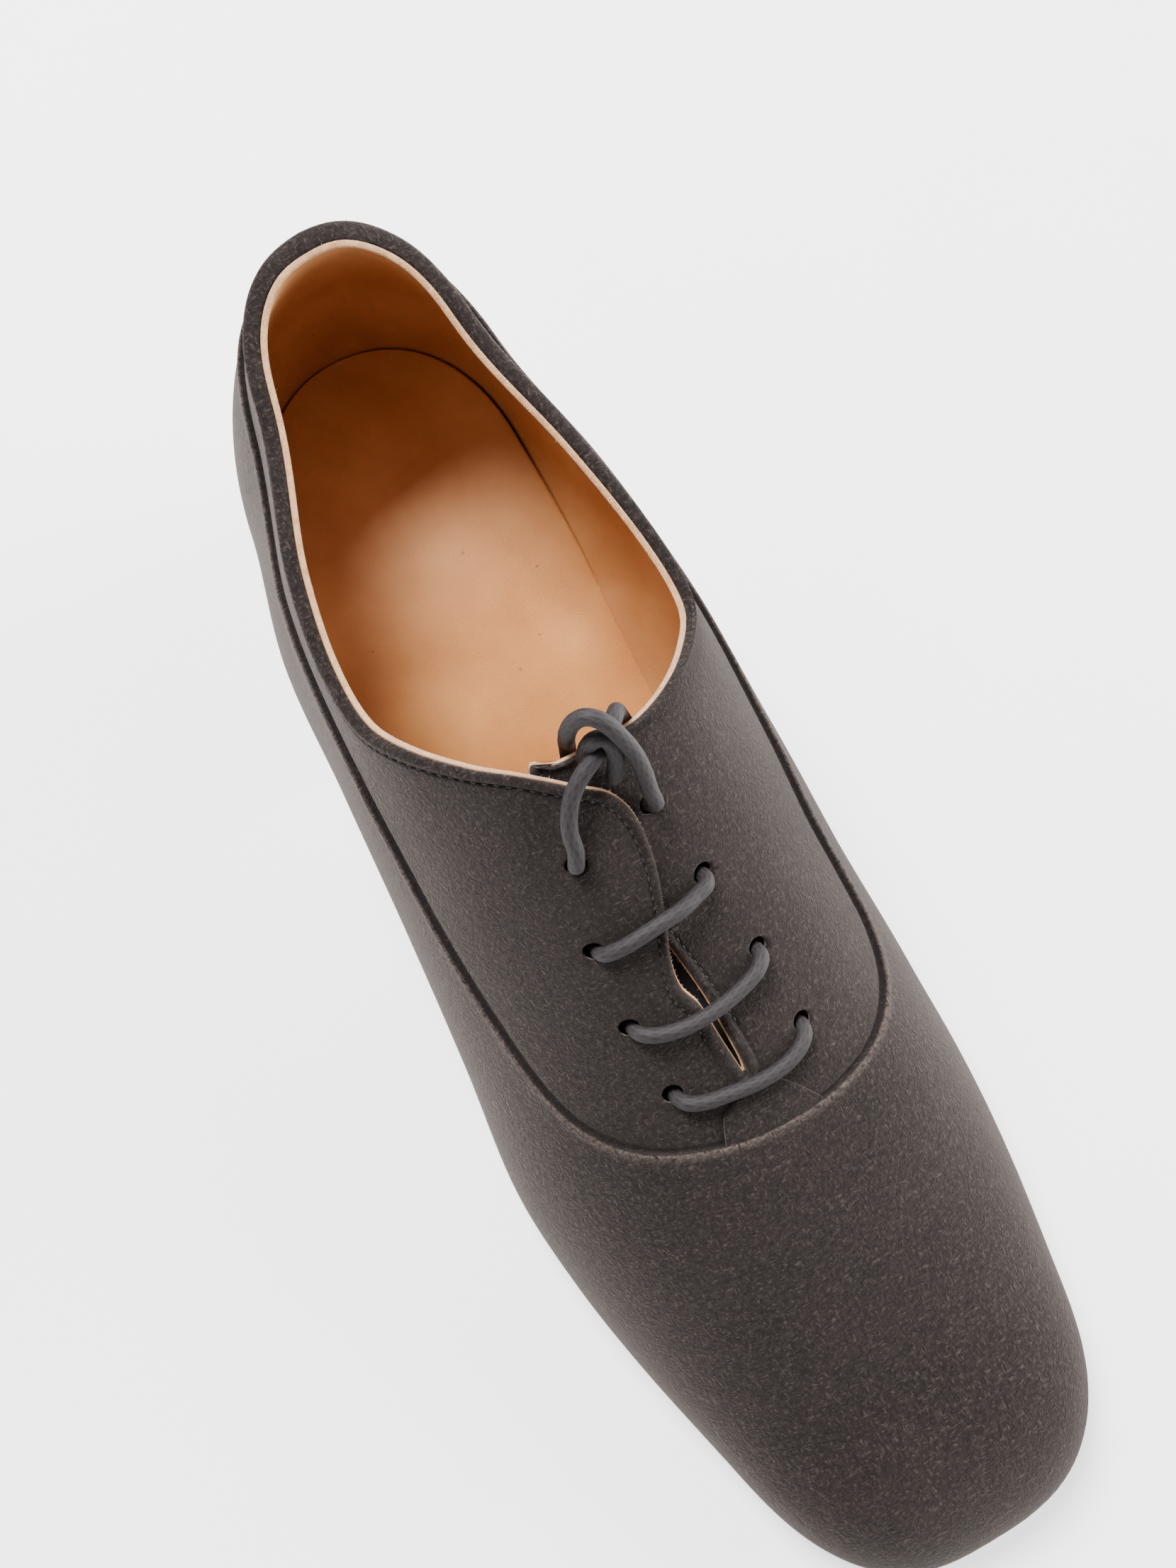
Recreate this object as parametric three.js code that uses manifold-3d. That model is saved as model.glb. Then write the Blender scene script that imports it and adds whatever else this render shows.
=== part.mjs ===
// Lace-up block-heel shoe for the right foot, in millimetres, +Z up.
// +X points to the toe and +Y to the inner side of the foot.
// The origin is the middle of the heel's ground face.
import * as THREE from 'three';
import { mergeVertices } from 'three/addons/utils/BufferGeometryUtils.js';
import Module from 'manifold-3d';

const wasm = await Module();
wasm.setup();

// Driving dimensions
const lastLength = 257;
const ballWidth = 83;
const instepHeight = 100;
const heelRise = 48;
const toeSpring = 4;
const upperWall = 2;
const panelStep = 1.1;
const soleThickness = 4;
const soleInset = 0.7;
const soleEdgeRound = 1.4;
const heelLength = 64;
const heelTaper = 0.02;
const insoleThickness = 3;
const insoleEdgeRound = 0.5;
const clearance = 0.3;

// Facings, lace holes and lace
const facingRise = 1;
const facingDrop = 1.5;
const tabThickness = 0.6;
const laceDiameter = 2.8;
const laceHoleDiameter = 4.4;
const barGap = 0.7;

// Resolution
const turnStations = 100;
const lowerRows = 9;
const upperRows = 6;
const soleStations = 36;
const laceSides = 8;

// How much closer the rows of the lower panel lie near the feather line, and how far
// past the seam the collar starts, as a share of the way to the opening
const rowCrowding = 1.6;
const stepShare = 0.004;

// The round ends of the last: where each starts, as a share of the length and of the half
// turn from the back to the toe, and its roundness
const heelPole = 0.125;
const toePole = 0.875;
const heelTurn = 0.14;
const toeTurn = 0.84;
const heelRoundness = 2.25;
const toeRoundness = 2.9;

// Step in plan coordinates for slopes of the last
const probe = 0.004;

// Sections of the last. at: share of the length. outer, inner and bend: half widths
// and side shift, shares of the ball width. crest: share of the instep height.
// rise: share of the heel rise. spring: share of the toe spring. full: fullness of the
// section. outerBulge, innerBulge: how far the side hangs over the feather line, as a
// share of the half width. outerPeak, innerPeak: its height, shares of the instep height.
const lastSections = [
  { at: 0.0, outer: 0.305, inner: 0.326, bend: 0.021, crest: 1.006, rise: 0.994, spring: 0,
    full: -0.15, outerBulge: 0, innerBulge: -0.02, outerPeak: 0.18, innerPeak: 0.18 },
  { at: 0.125, outer: 0.327, inner: 0.342, bend: 0.002, crest: 0.971, rise: 0.906, spring: 0,
    full: -0.175, outerBulge: 0.075, innerBulge: 0.065, outerPeak: 0.18, innerPeak: 0.18 },
  { at: 0.22, outer: 0.352, inner: 0.339, bend: -0.015, crest: 0.911, rise: 0.804, spring: 0,
    full: -0.045, outerBulge: 0.16, innerBulge: 0.28, outerPeak: 0.2, innerPeak: 0.22 },
  { at: 0.32, outer: 0.367, inner: 0.326, bend: -0.022, crest: 0.846, rise: 0.638, spring: 0,
    full: 0.07, outerBulge: 0.143, innerBulge: 0.432, outerPeak: 0.22, innerPeak: 0.26 },
  { at: 0.42, outer: 0.394, inner: 0.34, bend: -0.024, crest: 0.763, rise: 0.406, spring: 0,
    full: 0.035, outerBulge: 0.14, innerBulge: 0.503, outerPeak: 0.22, innerPeak: 0.28 },
  { at: 0.52, outer: 0.448, inner: 0.399, bend: -0.01, crest: 0.646, rise: 0.183, spring: 0,
    full: 0.02, outerBulge: 0.112, innerBulge: 0.334, outerPeak: 0.18, innerPeak: 0.24 },
  { at: 0.62, outer: 0.5, inner: 0.465, bend: 0.001, crest: 0.528, rise: 0.04, spring: 0,
    full: 0.037, outerBulge: 0.09, innerBulge: 0.172, outerPeak: 0.14, innerPeak: 0.16 },
  { at: 0.7, outer: 0.506, inner: 0.492, bend: 0.008, crest: 0.443, rise: 0, spring: 0,
    full: 0.048, outerBulge: 0.053, innerBulge: 0.098, outerPeak: 0.12, innerPeak: 0.12 },
  { at: 0.78, outer: 0.47, inner: 0.484, bend: 0.01, crest: 0.348, rise: 0, spring: 0,
    full: 0.05, outerBulge: 0.043, innerBulge: 0.071, outerPeak: 0.11, innerPeak: 0.11 },
  { at: 0.875, outer: 0.405, inner: 0.438, bend: 0.011, crest: 0.254, rise: 0, spring: 0.27,
    full: 0.057, outerBulge: 0.033, innerBulge: 0.07, outerPeak: 0.11, innerPeak: 0.11 },
  { at: 1.0, outer: 0.316, inner: 0.358, bend: 0.014, crest: 0.196, rise: 0, spring: 1,
    full: 0.06, outerBulge: 0.029, innerBulge: 0.086, outerPeak: 0.11, innerPeak: 0.11 },
];

// Places on the upper are given in plan. along: share of the length. across: from -1 at
// the outer feather line over 0 at the crest to 1 at the inner feather line.
// turn: share of one trip round the upper, from the back over the outer side and the toe.

// The edge of the opening: topline, outer facing, base of the slit, inner facing, topline
const openingEdge = [
  { turn: 0.0, along: 0.0625, across: 0.0 },
  { turn: 0.025, along: 0.0667, across: -0.22 },
  { turn: 0.05, along: 0.08, across: -0.39 },
  { turn: 0.07, along: 0.098, across: -0.485 },
  { turn: 0.09, along: 0.125, across: -0.535 },
  { turn: 0.12, along: 0.175, across: -0.575 },
  { turn: 0.15, along: 0.23, across: -0.6 },
  { turn: 0.18, along: 0.285, across: -0.595 },
  { turn: 0.205, along: 0.33, across: -0.545 },
  { turn: 0.225, along: 0.365, across: -0.435 },
  { turn: 0.245, along: 0.393, across: -0.3 },
  { turn: 0.26, along: 0.414, across: -0.16 },
  { turn: 0.275, along: 0.432, across: -0.045 },
  { turn: 0.29, along: 0.444, across: 0.035 },
  { turn: 0.305, along: 0.46, across: 0.068 },
  { turn: 0.32, along: 0.484, across: 0.06 },
  { turn: 0.335, along: 0.512, across: 0.022 },
  { turn: 0.35, along: 0.543, across: -0.028 },
  { turn: 0.36, along: 0.56, across: -0.036 },
  { turn: 0.37, along: 0.575, across: -0.014 },
  { turn: 0.385, along: 0.6, across: -0.005 },
  { turn: 0.4, along: 0.618, across: 0.002 },
  { turn: 0.45, along: 0.6265, across: 0.006 },
  { turn: 0.5, along: 0.628, across: 0.011 },
  { turn: 0.55, along: 0.6265, across: 0.016 },
  { turn: 0.6, along: 0.618, across: 0.02 },
  { turn: 0.62, along: 0.598, across: 0.019 },
  { turn: 0.64, along: 0.574, across: 0.015 },
  { turn: 0.66, along: 0.545, across: -0.004 },
  { turn: 0.68, along: 0.515, across: -0.035 },
  { turn: 0.7, along: 0.48, across: -0.08 },
  { turn: 0.715, along: 0.45, across: -0.125 },
  { turn: 0.73, along: 0.425, across: -0.158 },
  { turn: 0.74, along: 0.414, across: -0.14 },
  { turn: 0.75, along: 0.4195, across: -0.09 },
  { turn: 0.765, along: 0.4215, across: 0.01 },
  { turn: 0.78, along: 0.421, across: 0.11 },
  { turn: 0.795, along: 0.416, across: 0.23 },
  { turn: 0.81, along: 0.402, across: 0.355 },
  { turn: 0.825, along: 0.3805, across: 0.48 },
  { turn: 0.845, along: 0.35, across: 0.6 },
  { turn: 0.87, along: 0.305, across: 0.652 },
  { turn: 0.895, along: 0.25, across: 0.655 },
  { turn: 0.915, along: 0.2, across: 0.63 },
  { turn: 0.935, along: 0.15, across: 0.585 },
  { turn: 0.95, along: 0.115, across: 0.535 },
  { turn: 0.965, along: 0.092, across: 0.47 },
  { turn: 0.98, along: 0.0727, across: 0.32 },
  { turn: 1.0, along: 0.0625, across: 0.0 },
];

// The seam where the lower panel laps over the collar and facings
const panelSeam = [
  { turn: 0.0, along: 0.041, across: 0.0 },
  { turn: 0.025, along: 0.05, across: -0.3 },
  { turn: 0.05, along: 0.076, across: -0.52 },
  { turn: 0.07, along: 0.103, across: -0.62 },
  { turn: 0.09, along: 0.135, across: -0.68 },
  { turn: 0.12, along: 0.18, across: -0.705 },
  { turn: 0.16, along: 0.245, across: -0.69 },
  { turn: 0.2, along: 0.315, across: -0.668 },
  { turn: 0.235, along: 0.385, across: -0.65 },
  { turn: 0.265, along: 0.44, across: -0.632 },
  { turn: 0.295, along: 0.495, across: -0.595 },
  { turn: 0.325, along: 0.55, across: -0.54 },
  { turn: 0.36, along: 0.6, across: -0.455 },
  { turn: 0.4, along: 0.637, across: -0.335 },
  { turn: 0.44, along: 0.658, across: -0.19 },
  { turn: 0.48, along: 0.668, across: -0.05 },
  { turn: 0.52, along: 0.67, across: 0.09 },
  { turn: 0.56, along: 0.667, across: 0.225 },
  { turn: 0.6, along: 0.652, across: 0.395 },
  { turn: 0.64, along: 0.622, across: 0.545 },
  { turn: 0.675, along: 0.583, across: 0.622 },
  { turn: 0.705, along: 0.54, across: 0.637 },
  { turn: 0.735, along: 0.493, across: 0.637 },
  { turn: 0.765, along: 0.44, across: 0.665 },
  { turn: 0.8, along: 0.375, across: 0.698 },
  { turn: 0.84, along: 0.31, across: 0.718 },
  { turn: 0.88, along: 0.245, across: 0.73 },
  { turn: 0.91, along: 0.185, across: 0.725 },
  { turn: 0.93, along: 0.14, across: 0.697 },
  { turn: 0.95, along: 0.102, across: 0.645 },
  { turn: 0.97, along: 0.073, across: 0.53 },
  { turn: 0.985, along: 0.052, across: 0.34 },
  { turn: 1.0, along: 0.041, across: 0.0 },
];

// The half-moon tab over the base of the slit, from its outer to its inner foot, which
// stand on a line across the last at tabFoot
const tabFoot = 0.672;
const tabEdge = [
  { along: 0.664, across: -0.125 },
  { along: 0.648, across: -0.097 },
  { along: 0.64, across: -0.05 },
  { along: 0.638, across: 0.01 },
  { along: 0.641, across: 0.075 },
  { along: 0.652, across: 0.12 },
  { along: 0.668, across: 0.165 },
];

// Lace holes, row 1 at the top
const laceRows = [
  { outer: { along: 0.467, across: -0.138 }, inner: { along: 0.461, across: 0.135 } },
  { outer: { along: 0.514, across: -0.2 }, inner: { along: 0.509, across: 0.18 } },
  { outer: { along: 0.565, across: -0.205 }, inner: { along: 0.564, across: 0.22 } },
  { outer: { along: 0.617, across: -0.182 }, inner: { along: 0.618, across: 0.223 } },
];

// How far each bar bows to the toe between its holes, share of the length
const barBow = [0, 0.006, 0.018, 0.019];

// How deep the ends of a bar go into the holes, share of the wall
const barDepth = 0.6;

// Where one facing lies over the other, in plan coordinates: from the topline and to the
// toe along the last, and from each facing's edge across it
const lapBack = [0.3, 0.4];
const lapToe = [0.55, 0.615];
const lapOuter = [-0.42, -0.12];
const lapInner = [0.12, 0.42];

// The half turns that the outsole, heel and insole end at, next to the poles
const soleToeTurn = 0.985;
const heelBackTurn = 0.012;
const insoleTurns = [0.02, 0.975];

// The strands of the lace at the top of the throat. over: height of the cord's middle
// over the last, in millimetres
const outerStrand = [
  { along: 0.467, across: -0.138, over: -0.3 },
  { along: 0.4655, across: -0.1362, over: 1.8 },
  { along: 0.4561, across: -0.1172, over: 3.2 },
  { along: 0.446, across: -0.1088, over: 3.4 },
  { along: 0.4375, across: -0.0892, over: 3.3 },
  { along: 0.4299, across: -0.0599, over: 3.4 },
  { along: 0.4239, across: -0.0213, over: 3.6 },
  { along: 0.4195, across: 0.0222, over: 3.6 },
  { along: 0.4173, across: 0.061, over: 2.7 },
  { along: 0.4138, across: 0.0923, over: 2.3 },
  { along: 0.4088, across: 0.118, over: 2.3 },
  { along: 0.4069, across: 0.1503, over: 0.6 },
  { along: 0.4095, across: 0.1855, over: -2.4 },
  { along: 0.4149, across: 0.229, over: -5.6 },
  { along: 0.4217, across: 0.2646, over: -7.6 },
  { along: 0.4276, across: 0.2876, over: -8.6 },
];
const innerStrand = [
  { along: 0.461, across: 0.135, over: -2.8 },
  { along: 0.4592, across: 0.136, over: 0.4 },
  { along: 0.4484, across: 0.1257, over: 2.4 },
  { along: 0.4382, across: 0.123, over: 3.8 },
  { along: 0.4287, across: 0.1169, over: 5.2 },
  { along: 0.4193, across: 0.1057, over: 6.6 },
  { along: 0.411, across: 0.0925, over: 7.6 },
  { along: 0.4045, across: 0.0811, over: 8.2 },
  { along: 0.399, across: 0.069, over: 8.4 },
  { along: 0.3951, across: 0.0544, over: 8.0 },
  { along: 0.3937, across: 0.037, over: 7.0 },
  { along: 0.3957, across: 0.0159, over: 5.4 },
  { along: 0.4013, across: 0.0003, over: 3.0 },
  { along: 0.4087, across: -0.0022, over: -0.6 },
  { along: 0.4159, across: 0.002, over: -4.4 },
  { along: 0.4249, across: 0.0006, over: -7.4 },
  { along: 0.4336, across: -0.0122, over: -9.0 },
];
const wrapStrand = [
  { along: 0.4366, across: 0.0647, over: 0.5 },
  { along: 0.4287, across: 0.0739, over: 2.6 },
  { along: 0.4202, across: 0.0765, over: 4.6 },
  { along: 0.4129, across: 0.0725, over: 5.6 },
  { along: 0.4088, across: 0.0608, over: 5.7 },
  { along: 0.4087, across: 0.043, over: 5.0 },
  { along: 0.4131, across: 0.0293, over: 2.8 },
  { along: 0.4203, across: 0.0168, over: 0.3 },
];

// Interpolation in the tables
const clamp = (value, low, high) => Math.min(high, Math.max(low, value));

const spread = (from, to, count) =>
  Array.from({ length: count }, (_, i) => from + (to - from) * i / (count - 1));

const smooth = (from, to, value) => {
  const t = clamp((value - from) / (to - from), 0, 1);
  return t * t * (3 - 2 * t);
};

// Smooth curve through the rows of a table, key against column. A closed table's last row
// is its first row again, one turn later.
function tableCurve(rows, key, column, at, closed = false) {
  const last = rows.length - 1;
  let i = 0;
  while (i < last - 1 && at > rows[i + 1][key]) i += 1;
  const slope = (k) => {
    const before = k > 0 ? rows[k - 1] : rows[closed ? last - 1 : 0];
    const after = k < last ? rows[k + 1] : rows[closed ? 1 : last];
    const wraps = closed && (k === 0 || k === last) ? rows[last][key] - rows[0][key] : 0;
    return (after[column] - before[column]) / (after[key] - before[key] + wraps);
  };
  const span = rows[i + 1][key] - rows[i][key];
  const t = clamp((at - rows[i][key]) / span, 0, 1);
  const t2 = t * t;
  const t3 = t2 * t;
  return (2 * t3 - 3 * t2 + 1) * rows[i][column] + (t3 - 2 * t2 + t) * span * slope(i)
    + (3 * t2 - 2 * t3) * rows[i + 1][column] + (t3 - t2) * span * slope(i + 1);
}

const section = (column, at) => tableCurve(lastSections, 'at', column, clamp(at, 0, 1));

// Height of the feather line over the floor, which is level over the tread
function featherHeight(at) {
  const raised = section('rise', at) * heelRise + section('spring', at) * toeSpring;
  return soleThickness + clearance + Math.max(0, raised);
}

// Plan coordinates as an angle round the last: distance rho from the crest, 1 at the
// feather line, and the shares of it that point along the end cap and across
function planAngle(along, across) {
  const side = Math.abs(across);
  let cap = 0;
  let roundness = 2;
  if (along < heelPole) {
    cap = (heelPole - along) / heelPole;
    roundness = heelRoundness;
  } else if (along > toePole) {
    cap = (along - toePole) / (1 - toePole);
    roundness = toeRoundness;
  }
  const rho = cap > 0 ? (cap ** roundness + side ** roundness) ** (1 / roundness) : side;
  return rho > 0 ? { rho, cap: cap / rho, side: side / rho } : { rho: 0, cap: 0, side: 1 };
}

// A point of the last's surface in plan coordinates
function lastSurface(along, across) {
  const { rho, cap, side } = planAngle(along, across);
  const theta = (1 - rho) * Math.PI / 2;
  const heel = along < heelPole;
  const toe = along > toePole;
  const place = (out) => {
    if (heel) return heelPole * (1 - cap * out);
    if (toe) return toePole + (1 - toePole) * cap * out;
    return along;
  };
  const shape = place(rho);
  const fullness = 1 + section('full', shape) * Math.sin(2 * theta) ** 2;
  const out = Math.cos(theta) * fullness;
  const at = place(out);
  const height = section('crest', at) * instepHeight * Math.sin(theta) * fullness;
  const isOuter = across < 0;
  // The two sides run into each other round the ends
  const inward = 0.5 + (isOuter ? -0.5 : 0.5) * side;
  const both = (outer, inner) => section(outer, at) * (1 - inward) + section(inner, at) * inward;
  const peak = both('outerPeak', 'innerPeak') * instepHeight;
  const bulge = both('outerBulge', 'innerBulge');
  const level = height / peak;
  const wide = out * (1 + bulge * level * Math.exp(1 - level));
  const seen = place(wide);
  const half = section(isOuter ? 'outer' : 'inner', seen) * ballWidth;
  const middle = section('bend', seen) * ballWidth;
  const y = middle + (isOuter ? -1 : 1) * half * side * wide;
  return new THREE.Vector3(seen * lastLength, y, featherHeight(at) + height);
}

// Outward normal of the last's surface
function lastNormal(along, across) {
  const a = clamp(along, probe * 1.5, 1 - probe * 1.5);
  const ahead = lastSurface(a + probe, across).sub(lastSurface(a - probe, across));
  const beside = lastSurface(a, across + probe).sub(lastSurface(a, across - probe));
  const normal = ahead.cross(beside);
  return normal.lengthSq() > 0 ? normal.normalize() : new THREE.Vector3(0, 0, 1);
}

const offLast = (along, across, distance) =>
  lastSurface(along, across).addScaledVector(lastNormal(along, across), distance);

// The feather line: plan coordinates at a turn
function featherPlan(turn) {
  const isOuter = turn < 0.5;
  const half = isOuter ? turn * 2 : (1 - turn) * 2;
  const sign = isOuter ? -1 : 1;
  if (half < heelTurn) {
    const angle = half / heelTurn * Math.PI / 2;
    return {
      along: heelPole * (1 - Math.cos(angle) ** (2 / heelRoundness)),
      across: sign * Math.sin(angle) ** (2 / heelRoundness),
    };
  }
  if (half > toeTurn) {
    const angle = (half - toeTurn) / (1 - toeTurn) * Math.PI / 2;
    return {
      along: toePole + (1 - toePole) * Math.sin(angle) ** (2 / toeRoundness),
      across: sign * Math.cos(angle) ** (2 / toeRoundness),
    };
  }
  const share = (half - heelTurn) / (toeTurn - heelTurn);
  return { along: heelPole + (toePole - heelPole) * share, across: sign };
}

const loopPlan = (table, turn) => ({
  along: tableCurve(table, 'turn', 'along', turn, true),
  across: tableCurve(table, 'turn', 'across', turn, true),
});

const mix = (a, b, t) => ({
  along: a.along + (b.along - a.along) * t,
  across: a.across + (b.across - a.across) * t,
});

// The outer facing lies over the inner one from the top down towards the toe
function facingLift(isOuter, along, across) {
  const lap = smooth(...lapBack, along) * (1 - smooth(...lapToe, along));
  if (isOuter) return facingRise * smooth(...lapOuter, across) * lap;
  return -facingDrop * (1 - smooth(...lapInner, across)) * lap;
}

// Closed solids from rings of points
function solidFromTriangles(points, triangles) {
  const geometry = new THREE.BufferGeometry();
  geometry.setAttribute('position', new THREE.Float32BufferAttribute(points.flatMap((p) => p.toArray()), 3));
  geometry.setIndex(triangles.flat());
  const merged = mergeVertices(geometry, 1e-4);
  const index = [...merged.index.array];
  const kept = [];
  for (let i = 0; i < index.length; i += 3) {
    const [a, b, c] = index.slice(i, i + 3);
    if (a !== b && b !== c && a !== c) kept.push(a, b, c);
  }
  return new wasm.Manifold(new wasm.Mesh({
    numProp: 3,
    vertProperties: new Float32Array(merged.attributes.position.array),
    triVerts: new Uint32Array(kept),
  }));
}

// A tube of wall between rings: each ring is a closed loop of equal count, and the last
// ring joins the first
function ringSolid(rings) {
  const count = rings[0].length;
  const triangles = [];
  rings.forEach((_, r) => {
    const next = (r + 1) % rings.length;
    for (let k = 0; k < count; k += 1) {
      const k2 = (k + 1) % count;
      const a = r * count + k;
      const b = r * count + k2;
      const c = next * count + k2;
      const d = next * count + k;
      triangles.push([a, b, c], [a, c, d]);
    }
  });
  return solidFromTriangles(rings.flat(), triangles);
}

// A loft of equal sections, with fans over its two ends
function loftSolid(sections) {
  const count = sections[0].length;
  const triangles = [];
  for (let r = 0; r < sections.length - 1; r += 1) {
    for (let k = 0; k < count; k += 1) {
      const k2 = (k + 1) % count;
      const a = r * count + k;
      const b = r * count + k2;
      triangles.push([a, b, b + count], [a, b + count, a + count]);
    }
  }
  const end = (sections.length - 1) * count;
  for (let k = 1; k < count - 1; k += 1) {
    triangles.push([0, k + 1, k], [end, end + k, end + k + 1]);
  }
  return solidFromTriangles(sections.flat(), triangles);
}

function solidFromGeometry(geometry) {
  const bare = geometry.clone();
  bare.deleteAttribute('normal');
  bare.deleteAttribute('uv');
  const merged = mergeVertices(bare, 1e-4);
  return new wasm.Manifold(new wasm.Mesh({
    numProp: 3,
    vertProperties: new Float32Array(merged.attributes.position.array),
    triVerts: new Uint32Array(merged.index.array),
  }));
}

function geometryFromSolid(solid) {
  const mesh = solid.getMesh();
  const geometry = new THREE.BufferGeometry();
  geometry.setAttribute('position', new THREE.BufferAttribute(new Float32Array(mesh.vertProperties), 3));
  geometry.setIndex(new THREE.BufferAttribute(new Uint32Array(mesh.triVerts), 1));
  geometry.computeVertexNormals();
  return geometry;
}

// Upper: one wall, thicker below the seam, open at the topline, slit and underneath
function upperWallSolid() {
  const turns = Array.from({ length: turnStations }, (_, k) => k / turnStations);
  const ring = (plan, distance) => turns.map((turn) => {
    const { along, across } = plan(turn);
    return offLast(along, across, distance + facingLift(turn < 0.5, along, across));
  });
  const seam = (turn) => loopPlan(panelSeam, turn);
  const edge = (turn) => loopPlan(openingEdge, turn);
  const lower = (share) => (turn) => mix(featherPlan(turn), seam(turn), share);
  const upper = (share) => (turn) => mix(seam(turn), edge(turn), share);
  const level = (rings) => rings.map((p, k) => {
    const { along } = featherPlan(turns[k]);
    return new THREE.Vector3(p.x, p.y, featherHeight(along));
  });
  const rings = [level(ring(featherPlan, panelStep))];
  const lowerShares = Array.from({ length: lowerRows }, (_, i) => ((i + 1) / lowerRows) ** rowCrowding);
  for (const share of lowerShares) rings.push(ring(lower(share), panelStep));
  rings.push(ring(upper(stepShare), 0));
  for (let i = 1; i <= upperRows; i += 1) rings.push(ring(upper(i / upperRows), 0));
  for (let i = upperRows; i >= 0; i -= 1) rings.push(ring(upper(i / upperRows), -upperWall));
  for (const share of lowerShares.slice(0, -1).reverse()) rings.push(ring(lower(share), -upperWall));
  rings.push(level(ring(featherPlan, -upperWall)));
  return ringSolid(rings);
}

// A patch that follows the last between two distances from its surface, from a table of
// edge points on one side to the seam on the other
function tabSolid() {
  const steps = 16;
  const outline = new THREE.CatmullRomCurve3(tabEdge.map((p) => new THREE.Vector3(p.along, p.across, 0)));
  const sections = [];
  for (let i = 0; i <= steps; i += 1) {
    const rim = outline.getPoint(i / steps);
    const foot = { along: tabFoot, across: rim.y };
    const column = spread(0, 1, 5).map((t) => mix({ along: rim.x, across: rim.y }, foot, t));
    const top = column.map((p) => offLast(p.along, p.across, tabThickness));
    const bottom = column.map((p) => offLast(p.along, p.across, -upperWall / 2));
    sections.push([...top, ...bottom.reverse()]);
  }
  return loftSolid(sections);
}

// A drill along the surface normal through one facing
function laceHoleSolid(place, lift) {
  const depth = upperWall + 3 * clearance;
  const middle = offLast(place.along, place.across, lift - upperWall / 2 + clearance);
  const drill = new THREE.CylinderGeometry(laceHoleDiameter / 2, laceHoleDiameter / 2, depth, 16);
  const turn = new THREE.Quaternion().setFromUnitVectors(
    new THREE.Vector3(0, 1, 0),
    lastNormal(place.along, place.across),
  );
  drill.applyQuaternion(turn);
  drill.translate(middle.x, middle.y, middle.z);
  return solidFromGeometry(drill);
}

function upperSolid() {
  let solid = upperWallSolid().add(tabSolid());
  for (const row of laceRows) {
    for (const [side, place] of Object.entries(row)) {
      const lift = facingLift(side === 'outer', place.along, place.across);
      solid = solid.subtract(laceHoleSolid(place, lift));
    }
  }
  return solid;
}

// Pairs of feather points, outer and inner, from the heel to the toe
function featherPair(half) {
  const outer = featherPlan(half / 2);
  const inner = featherPlan(1 - half / 2);
  return [lastSurface(outer.along, outer.across), lastSurface(inner.along, inner.across)];
}

// Moves a pair of outline points inwards by a distance, along the outline's own normal
function insetPair(half, distance) {
  const [outer, inner] = featherPair(half);
  const [outerA, innerA] = featherPair(clamp(half - probe, 0, 1));
  const [outerB, innerB] = featherPair(clamp(half + probe, 0, 1));
  const push = (p, a, b, sign) => {
    const dir = new THREE.Vector2(b.x - a.x, b.y - a.y).normalize();
    return new THREE.Vector2(p.x - sign * dir.y * distance, p.y + sign * dir.x * distance);
  };
  return [push(outer, outerA, outerB, 1), push(inner, innerA, innerB, -1)];
}

// A flat-bottomed, level-crossed layer under or over the feather line, its lower corners
// rounded by way of a point at cornerShare of the round
function layerSections(halves, inset, topOf, bottomOf, round) {
  const cornerShare = 0.3;
  return halves.map((half) => {
    const [outer, inner] = insetPair(half, inset);
    const x = (outer.x + inner.x) / 2;
    const at = x / lastLength;
    const top = topOf(at);
    const bottom = bottomOf(at);
    const r = Math.min(round, (top - bottom) / 2);
    const width = inner.y - outer.y;
    const cut = Math.min(r, width / 4);
    return [
      new THREE.Vector3(x, outer.y, top),
      new THREE.Vector3(x, outer.y, bottom + r),
      new THREE.Vector3(x, outer.y + cut * cornerShare, bottom + r * cornerShare),
      new THREE.Vector3(x, outer.y + cut, bottom),
      new THREE.Vector3(x, inner.y - cut, bottom),
      new THREE.Vector3(x, inner.y - cut * cornerShare, bottom + r * cornerShare),
      new THREE.Vector3(x, inner.y, bottom + r),
      new THREE.Vector3(x, inner.y, top),
    ];
  });
}

// The half turn where the outline reaches a length from the back
function halfAt(length) {
  const share = (length / lastLength - heelPole) / (toePole - heelPole);
  return heelTurn + share * (toeTurn - heelTurn);
}

function outsoleSolid() {
  const halves = spread(halfAt(heelLength + clearance), soleToeTurn, soleStations);
  const top = (at) => featherHeight(at) - clearance;
  const bottom = (at) => featherHeight(at) - clearance - soleThickness;
  return loftSolid(layerSections(halves, soleInset - panelStep, top, bottom, soleEdgeRound));
}

function heelSolid() {
  const halves = [
    ...spread(heelBackTurn, heelTurn, 12),
    ...spread(heelTurn + 0.02, halfAt(heelLength), 6),
  ];
  const sections = halves.map((half) => {
    const [outer, inner] = insetPair(half, soleInset - panelStep);
    const x = (outer.x + inner.x) / 2;
    const top = featherHeight(x / lastLength) - clearance;
    const middle = heelLength / 2;
    const foot = (p) => new THREE.Vector3(
      middle + (x - middle) * (1 - heelTaper),
      p.y * (1 - heelTaper),
      0,
    );
    return [
      new THREE.Vector3(x, outer.y, top),
      foot(outer),
      foot(inner),
      new THREE.Vector3(x, inner.y, top),
    ];
  });
  return loftSolid(sections);
}

function insoleSolid() {
  const halves = spread(...insoleTurns, soleStations);
  const bottom = (at) => featherHeight(at);
  const top = (at) => featherHeight(at) + insoleThickness;
  const inset = upperWall + clearance * 2;
  return loftSolid(layerSections(halves, inset, top, bottom, insoleEdgeRound));
}

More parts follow.
